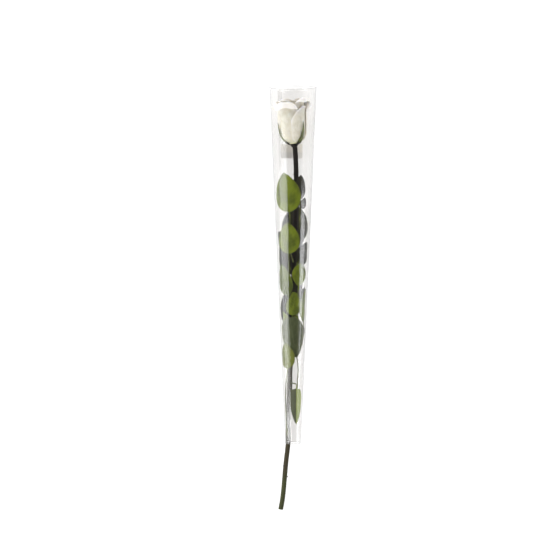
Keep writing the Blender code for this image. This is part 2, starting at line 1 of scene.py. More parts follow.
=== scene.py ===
"""The looks of a preserved white rose that lies in a clear tapered sleeve.

Pieces are shaped in the sleeve's own upright frame, in metres: up its axis from the narrow mouth at height
0, +X to the right and the viewer's side at -Y. Angles round the sleeve are in degrees: 0 is its right side,
90 the viewer's side, 180 its left side and 270 the side that lies on the floor. Each finished mesh is then
laid down.
"""

import logging
import math
import random
from collections.abc import Callable, Sequence
from dataclasses import dataclass, field
from enum import Enum
from functools import cached_property
from typing import Any

import bpy
from mathutils import Matrix, Vector, noise


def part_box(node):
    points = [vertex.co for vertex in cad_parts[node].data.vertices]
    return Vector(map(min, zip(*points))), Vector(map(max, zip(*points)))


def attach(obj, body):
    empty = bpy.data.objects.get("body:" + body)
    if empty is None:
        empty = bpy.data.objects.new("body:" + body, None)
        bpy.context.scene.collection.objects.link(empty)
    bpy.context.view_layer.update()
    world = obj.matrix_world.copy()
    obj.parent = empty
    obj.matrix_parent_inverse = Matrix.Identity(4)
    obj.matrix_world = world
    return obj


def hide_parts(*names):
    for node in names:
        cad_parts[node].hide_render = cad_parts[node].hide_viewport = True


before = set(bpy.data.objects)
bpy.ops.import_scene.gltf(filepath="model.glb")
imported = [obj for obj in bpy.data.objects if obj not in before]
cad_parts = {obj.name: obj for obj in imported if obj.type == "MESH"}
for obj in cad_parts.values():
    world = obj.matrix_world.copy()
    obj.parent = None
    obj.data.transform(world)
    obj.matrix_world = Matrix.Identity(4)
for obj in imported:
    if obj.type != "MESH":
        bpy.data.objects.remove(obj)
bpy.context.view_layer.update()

BODY = "root"
UP = Vector((0, 0, 1))
MERGE = 1e-6
GOLDEN_TURN = 137.5
VEIN_PAIRS = 8
VEIN_SLANT = 0.2
CLOUD_ROUGHNESS = 0.55

Colour = tuple[float, float, float]
Place = Callable[[float, float], Vector]
Inputs = dict[int | str, Any]
Node = bpy.types.Node
Piece = bpy.types.Object
Skin = bpy.types.Material

log = logging.getLogger("rose")


class Wire:
    """A node's output that can be used in arithmetic, which adds the Math nodes."""

    def __init__(self, graph: "Graph", socket: bpy.types.NodeSocket) -> None:
        """Keeps the socket and the graph it belongs to."""
        self.graph = graph
        self.socket = socket

    def __add__(self, other: "Number") -> "Wire":
        """The sum, in either order."""
        return self.graph.math("ADD", self, other)

    def __sub__(self, other: "Number") -> "Wire":
        """The difference."""
        return self.graph.math("SUBTRACT", self, other)

    def __rsub__(self, other: float) -> "Wire":
        """The difference, number first."""
        return self.graph.math("SUBTRACT", other, self)

    def __mul__(self, other: "Number") -> "Wire":
        """The product, in either order."""
        return self.graph.math("MULTIPLY", self, other)

    def __pow__(self, other: "Number") -> "Wire":
        """The power."""
        return self.graph.math("POWER", self, other)

    def __abs__(self) -> "Wire":
        """The size without its sign."""
        return self.graph.math("ABSOLUTE", self)

    __radd__ = __add__
    __rmul__ = __mul__

    def fraction(self) -> "Wire":
        """What is left over the last whole number."""
        return self.graph.math("FRACT", self)

    def rise(self, low: float, high: float) -> "Wire":
        """A smooth step.

        Args:
            low: the value where the step is still 0.
            high: the value where it has reached 1. It may be the lower of the two, for a fall.

        Returns:
            The step, held between 0 and 1.
        """
        if low > high:
            return 1 - self.rise(high, low)
        inputs = {0: self, 1: low, 2: high}
        return self.graph.wire("ShaderNodeMapRange", inputs, interpolation_type="SMOOTHSTEP")


Number = Wire | float


class Graph:
    """Builds the nodes of one material, or of the world."""

    def __init__(self, owner: Skin | bpy.types.World) -> None:
        """Starts the owner's nodes from nothing but an output."""
        owner.use_nodes = True
        self.tree = owner.node_tree
        self.tree.nodes.clear()
        kind = "World" if isinstance(owner, bpy.types.World) else "Material"
        self.output = self.tree.nodes.new(f"ShaderNodeOutput{kind}")

    def add(self, kind: str, inputs: Inputs, **settings: str | bool) -> Node:
        """Adds one node.

        Args:
            kind: the node's type.
            inputs: values or wires for its sockets, by name or number.
            settings: its settings, which are set before the inputs.

        Returns:
            The node.
        """
        node = self.tree.nodes.new(kind)
        for key, value in settings.items():
            setattr(node, key, value)
        for key, value in inputs.items():
            socket = node.inputs[key]
            if isinstance(value, Wire):
                self.tree.links.new(value.socket, socket)
            elif socket.type == "RGBA":
                socket.default_value = (*value, 1.0)
            else:
                socket.default_value = value
        return node

    def wire(self, kind: str, inputs: Inputs, output: int | str = 0, **settings: str | bool) -> Wire:
        """One output of a new node, which is added as add does it."""
        return Wire(self, self.add(kind, inputs, **settings).outputs[output])

    def math(self, operation: str, *values: Number) -> Wire:
        """A Math node on numbers or wires."""
        return self.wire("ShaderNodeMath", dict(enumerate(values)), operation=operation)

    def coordinates(self, source: str) -> tuple[Wire, Wire, Wire]:
        """The x, y and z of one of the Texture Coordinate node's outputs."""
        whole = self.wire("ShaderNodeTexCoord", {}, source)
        apart = self.add("ShaderNodeSeparateXYZ", {0: whole})
        return tuple(Wire(self, apart.outputs[k]) for k in range(3))

    @cached_property
    def at(self) -> tuple[Wire, Wire, Wire]:
        """The place on the piece, in its Object coordinates."""
        return self.coordinates("Object")

    def vector(self, parts: Sequence[Number]) -> Wire:
        """A vector from its parts."""
        return self.wire("ShaderNodeCombineXYZ", dict(enumerate(parts)))

    def cloud(self, place: Sequence[Number], detail: float = 3.0) -> Wire:
        """Noise about 0.5, at a place whose parts are already scaled."""
        inputs = {"Vector": self.vector(place), "Scale": 1.0, "Detail": detail, "Roughness": CLOUD_ROUGHNESS}
        return self.wire("ShaderNodeTexNoise", inputs, "Fac")

    def grain(self, across: float, along: float, detail: float = 3.0) -> Wire:
        """Noise about 0.5 in the piece, finer the larger its scales across and along the rose are."""
        x, y, z = self.at
        return self.cloud((x * across, y * along, z * across), detail)

    def cells(self, place: Sequence[Number], **settings: str) -> Wire:
        """The distance in a pattern of cells, at a place whose parts are already scaled."""
        return self.wire("ShaderNodeTexVoronoi", {"Vector": self.vector(place), "Scale": 1.0}, **settings)

    def ramp(self, place: Wire, *stops: tuple[float, Colour]) -> Wire:
        """A ramp of colours.

        Args:
            place: where on the ramp it is read.
            stops: the place and the colour of each stop.

        Returns:
            The colour at the place.
        """
        node = self.add("ShaderNodeValToRGB", {0: place})
        elements = node.color_ramp.elements
        while len(elements) < len(stops):
            elements.new(1.0)
        for element, (position, colour) in zip(elements, stops):
            element.position = position
            element.color = (*colour, 1.0)
        return Wire(self, node.outputs[0])

    def mix(self, share: Number, first: Wire | Colour, second: Wire | Colour) -> Wire:
        """A blend of two colours, from the first at share 0 to the second at share 1."""
        inputs = {0: share, 6: first, 7: second}
        return self.wire("ShaderNodeMix", inputs, 2, data_type="RGBA", clamp_factor=True)

    def layers(self, base: Wire | Colour, *coats: tuple[Number, Colour]) -> Wire:
        """A colour under coats.

        Args:
            base: the colour underneath.
            coats: the share and the colour of each coat, in the order in which they cover each other.

        Returns:
            The colour that shows.
        """
        for share, colour in coats:
            base = self.mix(share, base, colour)
        return base

    def bump(self, height: Wire, distance: float, strength: float = 1.0) -> Wire:
        """A normal that shows a height from 0 to 1 as relief of a depth in metres."""
        inputs = {"Height": height, "Distance": distance, "Strength": strength}
        return self.wire("ShaderNodeBump", inputs, "Normal")

    def surface(self, colour: Wire | Colour, roughness: Number, shine: float = 0.5, **inputs: Any) -> Node:
        """A Principled shader.

        Args:
            colour: its base colour.
            roughness: its roughness.
            shine: its specular level.
            inputs: further inputs, whose names have _ for a space.

        Returns:
            The shader's node.
        """
        named = {key.replace("_", " ").title(): value for key, value in inputs.items()}
        usual = {"Base Color": colour, "Roughness": roughness, "Specular IOR Level": shine}
        return self.add("ShaderNodeBsdfPrincipled", {**usual, **named})

    def blend(self, share: Wire, first: Node, second: Node) -> Node:
        """A blend of two shaders, from the first at share 0 to the second at share 1."""
        shaders = [Wire(self, shader.outputs[0]) for shader in (first, second)]
        return self.add("ShaderNodeMixShader", dict(enumerate([share, *shaders])))

    def show(self, shader: Node) -> None:
        """Links a shader to the output."""
        self.tree.links.new(shader.outputs[0], self.output.inputs["Surface"])


@dataclass(frozen=True)
class Finish:
    """A procedural material. Each kind of finish says how it looks."""

    name: str

    def look(self, graph: Graph) -> Node:
        """The finish's shader, built in a graph."""
        raise NotImplementedError

    def material(self) -> Skin:
        """The finish as a new material."""
        made = bpy.data.materials.new(self.name)
        graph = Graph(made)
        graph.show(self.look(graph))
        return made


@dataclass(frozen=True)
class Shades:
    """The colours of one face of a blade: its body, its blotches, its veins and its toothed margin.

    The first half is the half that UV x starts in, where it differs from the body; it is a painted dark
    reflection.
    """

    body: Colour
    blotch: Colour
    vein: Colour
    margin: Colour
    painted_reflection_half: Colour | None = None


class Tint(Enum):
    """The colours of the face of a blade that shows.

    The near black tint is painted shade, for blades that lie deep in the shadow among the leaves. The dark
    tint's pale margin is a painted highlight, and the half grey tint's dark first half is a painted
    reflection.
    """

    GREEN = Shades((0.132, 0.172, 0.009), (0.064, 0.084, 0.006), (0.18, 0.22, 0.04), (0.13, 0.11, 0.04))
    YELLOW = Shades((0.135, 0.155, 0.03), (0.09, 0.105, 0.02), (0.18, 0.205, 0.07), (0.15, 0.13, 0.05))
    DEEP = Shades((0.085, 0.115, 0.01), (0.045, 0.06, 0.007), (0.12, 0.15, 0.03), (0.08, 0.075, 0.02))
    # The dark tint's pale margin is a painted highlight: its teeth are drawn as if they catch the light.
    DARK = Shades((0.066, 0.08, 0.034), (0.046, 0.056, 0.022), (0.1, 0.115, 0.055), (0.42, 0.42, 0.22))
    # Near black blades: painted shade, set where the leaves lie deep in shadow between the stem and the
    # wall.
    BLACK = Shades((0.02, 0.019, 0.009), (0.013, 0.012, 0.006), (0.036, 0.034, 0.016), (0.03, 0.026, 0.015))
    # Half grey: the dark first half of this tint is a painted reflection of the sleeve on the blade.
    HALF_GREY = Shades(
        (0.36, 0.42, 0.16), (0.27, 0.33, 0.1), (0.42, 0.46, 0.22), (0.22, 0.24, 0.13), (0.062, 0.064, 0.058)
    )


# The face of each blade turned to the stem is near black: painted shade for the inside of the leaves.
SHADED_INNER_FACE = Shades((0.028, 0.028, 0.013), (0.018, 0.018, 0.008), (0.05, 0.05, 0.024), (0.04, 0.035, 0.02))


@dataclass(frozen=True)
class PetalFinish(Finish):
    """Cream white petal, yellowish green at its foot, with fine veins that fan upwards and a soft sheen.

    Its edges and upper part are paler, as the petals are, and the upper part is whitened further as painted
    light.
    """

    body: Colour = (0.84, 0.78, 0.64)
    shade: Colour = (0.76, 0.69, 0.53)
    foot: Colour = (0.62, 0.57, 0.36)
    # The paler edges and upper part, partly the petals' own tone and partly painted light.
    lip: Colour = (0.92, 0.90, 0.87)
    vein_depth: float = 0.00006

    def look(self, graph: Graph) -> Node:
        """Mottled cream that light passes into, in UV: x across the petal, y up it."""
        u, v, _ = graph.coordinates("UV")
        fibre = graph.cloud((u * 46, v * 3.2, 0.0))
        mottle = graph.grain(210, 210)
        colour = graph.layers(
            self.body,
            (mottle.rise(0.38, 0.66), self.shade),
            (fibre.rise(0.5, 0.72) * 0.22, self.shade),
            (v.rise(0.34, 0.02) * 0.75, self.foot),
            # Paler edges, and the upper part whitened: partly the petals' own tone, partly painted light
            # that lifts the shade among the top petals.
            (abs(u * 2 - 1) ** 7 * 0.5 + v.rise(0.56, 0.74) * 0.9, self.lip),
        )
        flesh = {"subsurface_weight": 0.5, "subsurface_radius": (1.0, 0.8, 0.55), "subsurface_scale": 0.003}
        sheen = {"sheen_weight": 0.25, "sheen_roughness": 0.4}
        normal = graph.bump(fibre * 0.7 + mottle * 0.3, self.vein_depth)
        return graph.surface(colour, 0.5 + mottle * 0.15, 0.3, normal=normal, **flesh, **sheen)


@dataclass(frozen=True)
class LeafFinish(Finish):
    """One face of a leaf blade, with its rib, side veins and the blotches of dried, dyed leaf."""

    shades: Shades
    vein_depth: float = 0.00016

    def look(self, graph: Graph) -> Node:
        """Veined and blotched leaf, in UV: x across the blade, y up it."""
        u, v, _ = graph.coordinates("UV")
        across = abs(u * 2 - 1)
        rib = across.rise(0.07, 0.01)
        ladder = abs((((v - across * VEIN_SLANT) * VEIN_PAIRS).fraction() * 2) - 1)
        veins = ladder.rise(0.8, 0.99) * across.rise(1.0, 0.55)
        blotch = graph.grain(95, 60, 4.0)
        grain = graph.grain(900, 900, 2.0)
        net = graph.cells((u * 16, v * 34), feature="DISTANCE_TO_EDGE", voronoi_dimensions="2D")
        colour = graph.layers(
            self.shades.body,
            (blotch.rise(0.4, 0.66), self.shades.blotch),
            (net.rise(0.09, 0.0) * 0.2, self.shades.vein),
            (veins * 0.4 + rib * 0.6, self.shades.vein),
        )
        # Painted reflection: the blade's first half darkened, where its shades have one.
        if self.shades.painted_reflection_half:
            colour = graph.mix(u.rise(0.54, 0.46) * 0.85, colour, self.shades.painted_reflection_half)
        colour = graph.mix(across.rise(0.9, 1.0) * 0.4, colour, self.shades.margin)
        relief = ladder.rise(1.0, 0.55) * 0.6 + net * 0.35 + grain * 0.15 - rib * 0.4
        normal = graph.bump(relief, self.vein_depth, 0.8)
        return graph.surface(colour, 0.42 + blotch * 0.2, 0.16, normal=normal)


@dataclass(frozen=True)
class BarkFinish(Finish):
    """Dried stem, coloured along Y from low to high.

    It is green at the cut end, brown up to the sleeve's low part, grey there as a painted reflection of the
    sleeve's milky veil, and near black towards the bloom as painted shade among the leaves and under the
    bloom.
    """

    low: float
    high: float
    green: Colour = (0.034, 0.04, 0.014)
    brown: Colour = (0.033, 0.028, 0.015)
    # Painted reflection: the grey of the sleeve's milky veil over the stem in the sleeve's low part.
    grey: Colour = (0.09, 0.086, 0.066)
    # Painted shade, where the stem lies among the leaves and under the bloom.
    black: Colour = (0.01, 0.008, 0.007)
    streaks: Colour = (0.062, 0.052, 0.03)
    stains: Colour = (0.02, 0.017, 0.012)
    pores: Colour = (0.085, 0.07, 0.042)
    depth: float = 0.00018

    def look(self, graph: Graph) -> Node:
        """Streaked, stained and pitted bark, plainer towards the bloom."""
        x, y, z = graph.at
        streak = graph.grain(1500, 70, 4.0)
        patch = graph.grain(160, 60)
        pore = graph.cells((x * 700, y * 330, z * 700)).rise(0.22, 0.1)
        climb = graph.wire("ShaderNodeMapRange", {0: y + (patch - 0.5) * 0.03, 1: self.low, 2: self.high})
        upper = climb.rise(0.25, 0.5)
        # The grey stops are a painted reflection of the sleeve's veil, and the near black stop is painted
        # shade.
        stops = zip(
            (0.07, 0.115, 0.18, 0.23, 0.4, 0.5),
            (self.green, self.brown, self.brown, self.grey, self.grey, self.black),
        )
        colour = graph.layers(
            graph.ramp(climb, *stops),
            (streak.rise(0.42, 0.7) * (0.4 - upper * 0.3), self.streaks),
            (patch.rise(0.5, 0.75) * 0.5, self.stains),
            (pore * (0.35 - upper * 0.25), self.pores),
        )
        normal = graph.bump(streak * 0.7 + pore * 0.5, self.depth)
        return graph.surface(colour, 0.55 + streak * 0.25, 0.12, normal=normal)


@dataclass(frozen=True)
class StalkFinish(Finish):
    """Green skin of stalks, ribs, the hip and its sepals, dark in patches, with black painted shade below a
    place on Y.
    """

    main: Colour
    dark: Colour
    speckle: Colour = (0.26, 0.28, 0.13)
    # Painted shade: the black below a place on Y.
    black: Colour = (0.012, 0.01, 0.008)
    black_from: float = -1.0
    black_to: float = -0.9
    depth: float = 0.00012

    def look(self, graph: Graph) -> Node:
        """Patched and finely speckled skin."""
        patch = graph.grain(320, 128, 4.0)
        fine = graph.grain(2400, 500, 2.0)
        colour = graph.layers(
            self.main,
            (patch.rise(0.4, 0.64), self.dark),
            (fine.rise(0.55, 0.8) * 0.3, self.speckle),
            # Painted shade: black towards the stem end.
            (graph.at[1].rise(self.black_to, self.black_from), self.black),
        )
        normal = graph.bump(fine * 0.6 + patch * 0.4, self.depth)
        return graph.surface(colour, 0.5 + fine * 0.2, 0.15, normal=normal)


@dataclass(frozen=True)
class WoodFinish(Finish):
    """The stem's sawn end: pale pith in a ring of wood, in the bark's dark rim."""

    centre: Vector
    radius: float
    pith: Colour = (0.5, 0.46, 0.3)
    pith_edge: Colour = (0.44, 0.4, 0.22)
    wood: Colour = (0.25, 0.26, 0.11)
    rim: Colour = (0.16, 0.17, 0.07)
    grain: Colour = (0.2, 0.16, 0.09)

    def look(self, graph: Graph) -> Node:
        """Rings of wood about the stem's centre."""
        x, _, z = graph.at
        out = ((x - self.centre.x) ** 2 + (z - self.centre.z) ** 2) ** 0.5 * (1 / self.radius)
        grain = graph.grain(2600, 300)
        rings = graph.ramp(out, (0.0, self.pith), (0.32, self.pith_edge), (0.4, self.wood), (0.85, self.rim))
        colour = graph.mix(grain.rise(0.4, 0.7) * 0.5, rings, self.grain)
        return graph.surface(colour, 0.8, normal=graph.bump(grain, 0.0002))


@dataclass(frozen=True)
class SheetFinish(Finish):
    """Thin clear sheet: a mirroring gloss on a clear film, milky where seen edge on. The milk turns to a
    painted grey shade where the sheet is seen most nearly edge on and along its rims.
    """

    foot: Vector
    axis: Vector
    length: float
    mirror_straight: float = 0.035
    milk_straight: float = 0.0015
    milk_edge_on: float = 0.36
    rim_width: float = 0.0009
    ripple_depth: float = 0.0009
    clear: Colour = (0.957, 0.953, 0.948)
    gloss: Colour = (0.96, 0.97, 0.98)
    milk: Colour = (0.62, 0.625, 0.63)
    # Painted shade: the grey of the sheet where it is seen edge on and along its rims.
    edge: Colour = (0.34, 0.345, 0.35)

    def look(self, graph: Graph) -> Node:
        """A clear film under its gloss, with a little milk over both."""
        _, y, z = graph.at
        smear = graph.grain(60, 14)
        normal = graph.bump(graph.grain(45, 9, 1.0), self.ripple_depth)
        slant = graph.wire("ShaderNodeLayerWeight", {"Blend": 0.5, "Normal": normal}, "Facing")
        clear = graph.add("ShaderNodeBsdfTransparent", {"Color": self.clear})
        gloss = graph.surface(self.gloss, 0.11 + smear.rise(0.5, 0.8) * 0.07, metallic=1.0, normal=normal)
        film = graph.blend(slant ** 5 * (1 - self.mirror_straight) + self.mirror_straight, clear, gloss)
        along = (y - self.foot.y) * self.axis.y + (z - self.foot.z) * self.axis.z
        from_end = self.length / 2 - abs(along - self.length / 2)
        # Painted shade: a grey line along both rims, and grey milk where the sheet is seen edge on.
        rim = from_end.rise(self.rim_width, self.rim_width * 0.4)
        milk = graph.surface(graph.mix(slant.rise(0.62, 0.9) + rim, self.milk, self.edge), 0.6, 0.0)
        milky = smear.rise(0.5, 0.85) * 0.003 + slant ** 2.5 * self.milk_edge_on + self.milk_straight
        return graph.blend(milky + rim * 0.3, film, milk)


@dataclass(frozen=True)
class PaperFinish(Finish):
    """Blank grey label paper with short fibres, whose plain tone changes at a place on Y."""

    change: float
    upper: Colour = (0.8, 0.77, 0.71)
    lower: Colour = (0.71, 0.69, 0.66)
    fibres: Colour = (0.86, 0.85, 0.82)
    blur: float = 0.0006

    def look(self, graph: Graph) -> Node:
        """Two tones and fibres."""
        fibre = graph.grain(1800, 700, 4.0)
        tone = (graph.at[1] - self.change).rise(self.blur, -self.blur)
        colour = graph.layers(self.upper, (tone, self.lower), (fibre.rise(0.45, 0.7) * 0.3, self.fibres))
        return graph.surface(colour, 0.75, normal=graph.bump(fibre, 0.00004))


@dataclass(frozen=True)
class TableFinish(Finish):
    """White table that glows softly, so that the shadows on it stay faint."""

    glow: float
    colour: Colour = (0.3, 0.3, 0.3)

    def look(self, graph: Graph) -> Node:
        """Plain dull white."""
        light = {"emission_color": (1.0, 1.0, 1.0), "emission_strength": self.glow}
        return graph.surface(self.colour, 0.9, 0.0, **light)


class Bench:
    """The workbench: the modelling steps that every piece shares."""

    @staticmethod
    def clear_selection() -> None:
        """Deselects everything."""
        bpy.ops.object.select_all(action="DESELECT")

    @staticmethod
    def take(piece: Piece) -> None:
        """Makes a piece the only selected and the active object."""
        Bench.clear_selection()
        piece.select_set(True)
        bpy.context.view_layer.objects.active = piece

    @staticmethod
    def merge() -> None:
        """Merges the doubles of what is selected in edit mode."""
        bpy.ops.mesh.remove_doubles(threshold=MERGE)

    @staticmethod
    def face_outwards() -> None:
        """Turns the faces that are selected in edit mode outwards."""
        bpy.ops.mesh.normals_make_consistent(inside=False)

    @staticmethod
    def edit(piece: Piece, *steps: Callable[[], Any]) -> None:
        """Runs edit-mode operators on the whole of a piece.

        Args:
            piece: the piece to edit.
            steps: calls of operators, run in order with everything selected.
        """
        Bench.take(piece)
        bpy.ops.object.mode_set(mode="EDIT")
        bpy.ops.mesh.select_all(action="SELECT")
        for step in steps:
            step()
        bpy.ops.object.mode_set(mode="OBJECT")

    @staticmethod
    def apply(piece: Piece, kind: str, **settings: Any) -> None:
        """Adds a modifier and applies it.

        Args:
            piece: the piece that it changes.
            kind: the modifier's type.
            settings: the modifier's settings.
        """
        Bench.take(piece)
        modifier = piece.modifiers.new(kind.title(), kind)
        for key, value in settings.items():
            setattr(modifier, key, value)
        bpy.ops.object.modifier_apply(modifier=modifier.name)

    @staticmethod
    def sheet(name: str, faces: tuple[int, int], thickness: float, place: Place, *skins: Skin) -> Piece:
        """A thin curved sheet from a grid primitive.

        Args:
            name: the piece's name.
            faces: faces across and up.
            thickness: the sheet's thickness.
            place: gives the point at across, from -1 to 1, and up, from 0 to 1.
            skins: the materials of the inner and the outer face, where they differ.

        Returns:
            The piece, with UV x across and y up.
        """
        Bench.clear_selection()
        bpy.ops.mesh.primitive_grid_add(x_subdivisions=faces[0], y_subdivisions=faces[1], size=2)
        piece = bpy.context.object
        piece.name = name
        for point in piece.data.vertices:
            point.co = place(point.co.x, (point.co.y + 1) / 2)
        Bench.edit(piece, Bench.merge)
        for skin in skins:
            piece.data.materials.append(skin)
        outer = len(skins) // 2
        settings = {"material_offset": outer, "material_offset_rim": outer}
        Bench.apply(piece, "SOLIDIFY", thickness=thickness, offset=0.0, **settings)
        return piece

    @staticmethod
    def tube(name: str, points: Sequence[Vector], radii: Sequence[float], resolution: int) -> Piece:
        """A closed round tube along points, converted from a bevelled curve.

        Args:
            name: the piece's name.
            points: the centre line.
            radii: the radius at each point.
            resolution: the bevel's resolution.

        Returns:
            The tube as a mesh.
        """
        line = bpy.data.curves.new(name, "CURVE")
        line.dimensions = "3D"
        line.bevel_depth = 1.0
        line.bevel_resolution = resolution
        line.use_fill_caps = True
        spline = line.splines.new("POLY")
        spline.points.add(len(points) - 1)
        for knot, point, radius in zip(spline.points, points, radii):
            knot.co = (*point, 1.0)
            knot.radius = radius
        piece = bpy.data.objects.new(name, line)
        bpy.context.scene.collection.objects.link(piece)
        Bench.take(piece)
        bpy.ops.object.convert(target="MESH")
        piece = bpy.context.object
        Bench.edit(piece, Bench.merge, Bench.face_outwards)
        return piece

    @staticmethod
    def ringed(name: str, sides: int, rings: Sequence[tuple[float, float]], capped: bool) -> Piece:
        """A round form grown from one circle by extruding and scaling its edge, ring by ring.

        Args:
            name: the piece's name.
            sides: points in the circle.
            rings: (radius, height) of each ring, from the first to the last.
            capped: whether both ends are closed with faces.

        Returns:
            The piece, upright about Z.
        """
        radius, height = rings[0]
        Bench.clear_selection()
        fill = "TRIFAN" if capped else "NOTHING"
        foot = (0, 0, height)
        bpy.ops.mesh.primitive_circle_add(vertices=sides, radius=radius, fill_type=fill, location=foot)
        bpy.ops.object.transform_apply(location=True, rotation=False, scale=False)
        piece = bpy.context.object
        piece.name = name
        bpy.ops.object.mode_set(mode="EDIT")
        bpy.ops.mesh.select_mode(type="EDGE")
        bpy.ops.mesh.select_all(action="DESELECT")
        bpy.ops.object.mode_set(mode="OBJECT")
        for edge in piece.data.edges:
            edge.select = all(piece.data.vertices[k].co.xy.length > radius * 0.5 for k in edge.vertices)
        bpy.ops.object.mode_set(mode="EDIT")
        for (old_radius, old_height), (new_radius, new_height) in zip(rings, rings[1:]):
            rise = (0, 0, new_height - old_height)
            bpy.ops.mesh.extrude_edges_move(TRANSFORM_OT_translate={"value": rise})
            scale = new_radius / old_radius
            bpy.ops.transform.resize(value=(scale, scale, 1), center_override=(0, 0, new_height))
        if capped:
            bpy.ops.mesh.edge_face_add()
        bpy.ops.mesh.select_all(action="SELECT")
        Bench.face_outwards()
        bpy.ops.mesh.select_mode(type="VERT")
        bpy.ops.object.mode_set(mode="OBJECT")
        return piece

    @staticmethod
    def join(name: str, pieces: Sequence[Piece]) -> Piece:
        """Joins pieces into one, keeping their materials.

        Args:
            name: the name of the whole.
            pieces: the pieces, the one that takes in the others first.

        Returns:
            The whole.
        """
        Bench.take(pieces[0])
        for piece in pieces[1:]:
            piece.select_set(True)
        bpy.ops.object.join()
        pieces[0].name = name
        return pieces[0]

    @staticmethod
    def finish(piece: Piece, lay: Matrix, slot: str, *nodes: str, sharp: float = 40.0) -> None:
        """Lays a finished piece down, shades it, hangs it on the body's empty and hides the CAD nodes that
        it stands for.

        Args:
            piece: the piece, shaped in the sleeve's upright frame.
            lay: the matrix that lays it down.
            slot: not used.
            nodes: the CAD nodes that it stands for.
            sharp: the angle in degrees above which an edge stays sharp.
        """
        piece.data.transform(lay)
        Bench.take(piece)
        bpy.ops.object.shade_smooth_by_angle(angle=math.radians(sharp))
        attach(piece, BODY)
        if nodes:
            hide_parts(*nodes)
        log.info("%s: %d faces", piece.name, len(piece.data.polygons))


def smooth(share: float) -> float:
    """A share from 0 to 1, eased at both ends and held outside them."""
    held = min(1.0, max(0.0, share))
    return held * held * (3 - 2 * held)


def outward(angle: float) -> Vector:
    """The level direction at an angle in degrees round the sleeve."""
    turn = math.radians(angle)
    return Vector((math.cos(turn), -math.sin(turn), 0))


def spline_point(points: Sequence[Sequence[float]], place: float) -> Vector:
    """A point of the smooth (Catmull-Rom) curve through points.

    Args:
        points: the points, with two or three parts each.
        place: where on the curve, from 0 to 1.

    Returns:
        The curve's point, with as many parts.
    """
    spans = len(points) - 1
    span = min(spans - 1, int(place * spans))
    t = place * spans - span
    before, start, end, after = (Vector(points[min(spans, max(0, span + k))]) for k in (-1, 0, 1, 2))
    return 0.5 * (
        2 * start
        + t * (end - before)
        + t * t * (2 * before - 5 * start + 4 * end - after)
        + t * t * t * (3 * start - before - 3 * end + after)
    )


def smooth_path(points: Sequence[Sequence[float]], count: int) -> list[Vector]:
    """Points along the smooth curve through points, count steps in all."""
    return [spline_point(points, k / count) for k in range(count + 1)]


@dataclass(frozen=True)
class Cone:
    """The sleeve's cone, and how it lies: one flat of the CAD solid's wall is on the floor."""

    length: float = 0.475
    narrow_radius: float = 0.0107
    wide_radius: float = 0.0317
    wall: float = 0.0004
    flats: int = 40

    @property
    def flat(self) -> float:
        """How near the middle of a flat is to the axis, as a share of its corners' distance."""
        return math.cos(math.pi / self.flats)

    def outer_radius(self, height: float) -> float:
        """The radius outside the wall, as far as the middle of a flat."""
        slope = (self.wide_radius - self.narrow_radius) / self.length
        return (self.narrow_radius + slope * height) * self.flat

    def inner_radius(self, height: float) -> float:
        """The radius inside the CAD solid's wall."""
        return self.outer_radius(height) / self.flat - self.wall

    def wall_point(self, height: float, angle: float, depth: float) -> Vector:
        """The point that lies depth inside the inner wall, at a height and an angle in degrees."""
        return outward(angle) * (self.inner_radius(height) - depth) + UP * height

    def held(self, point: Vector, clearance: float) -> Vector:
        """A point, drawn in towards the axis where it would come too near to the wall.

        Args:
            point: the point.
            clearance: how near to the inner wall it may come.

        Returns:
            The point, or the nearest one at its height that keeps the clearance.
        """
        limit = self.inner_radius(point.z) - clearance
        out = Vector((point.x, point.y, 0))
        if out.length <= limit:
            return point
        return out * (limit / out.length) + UP * point.z

    def lay(self) -> Matrix:
        """The matrix that lays the upright frame down where the CAD model has it."""
        taper = math.atan((self.wide_radius - self.narrow_radius) * self.flat / self.length)
        near = self.narrow_radius * self.flat
        low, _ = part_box("sleeve")
        place = Matrix.Translation((0, low.y + near * math.sin(taper), near * math.cos(taper)))
        return place @ Matrix.Rotation(taper - math.pi / 2, 4, "X")


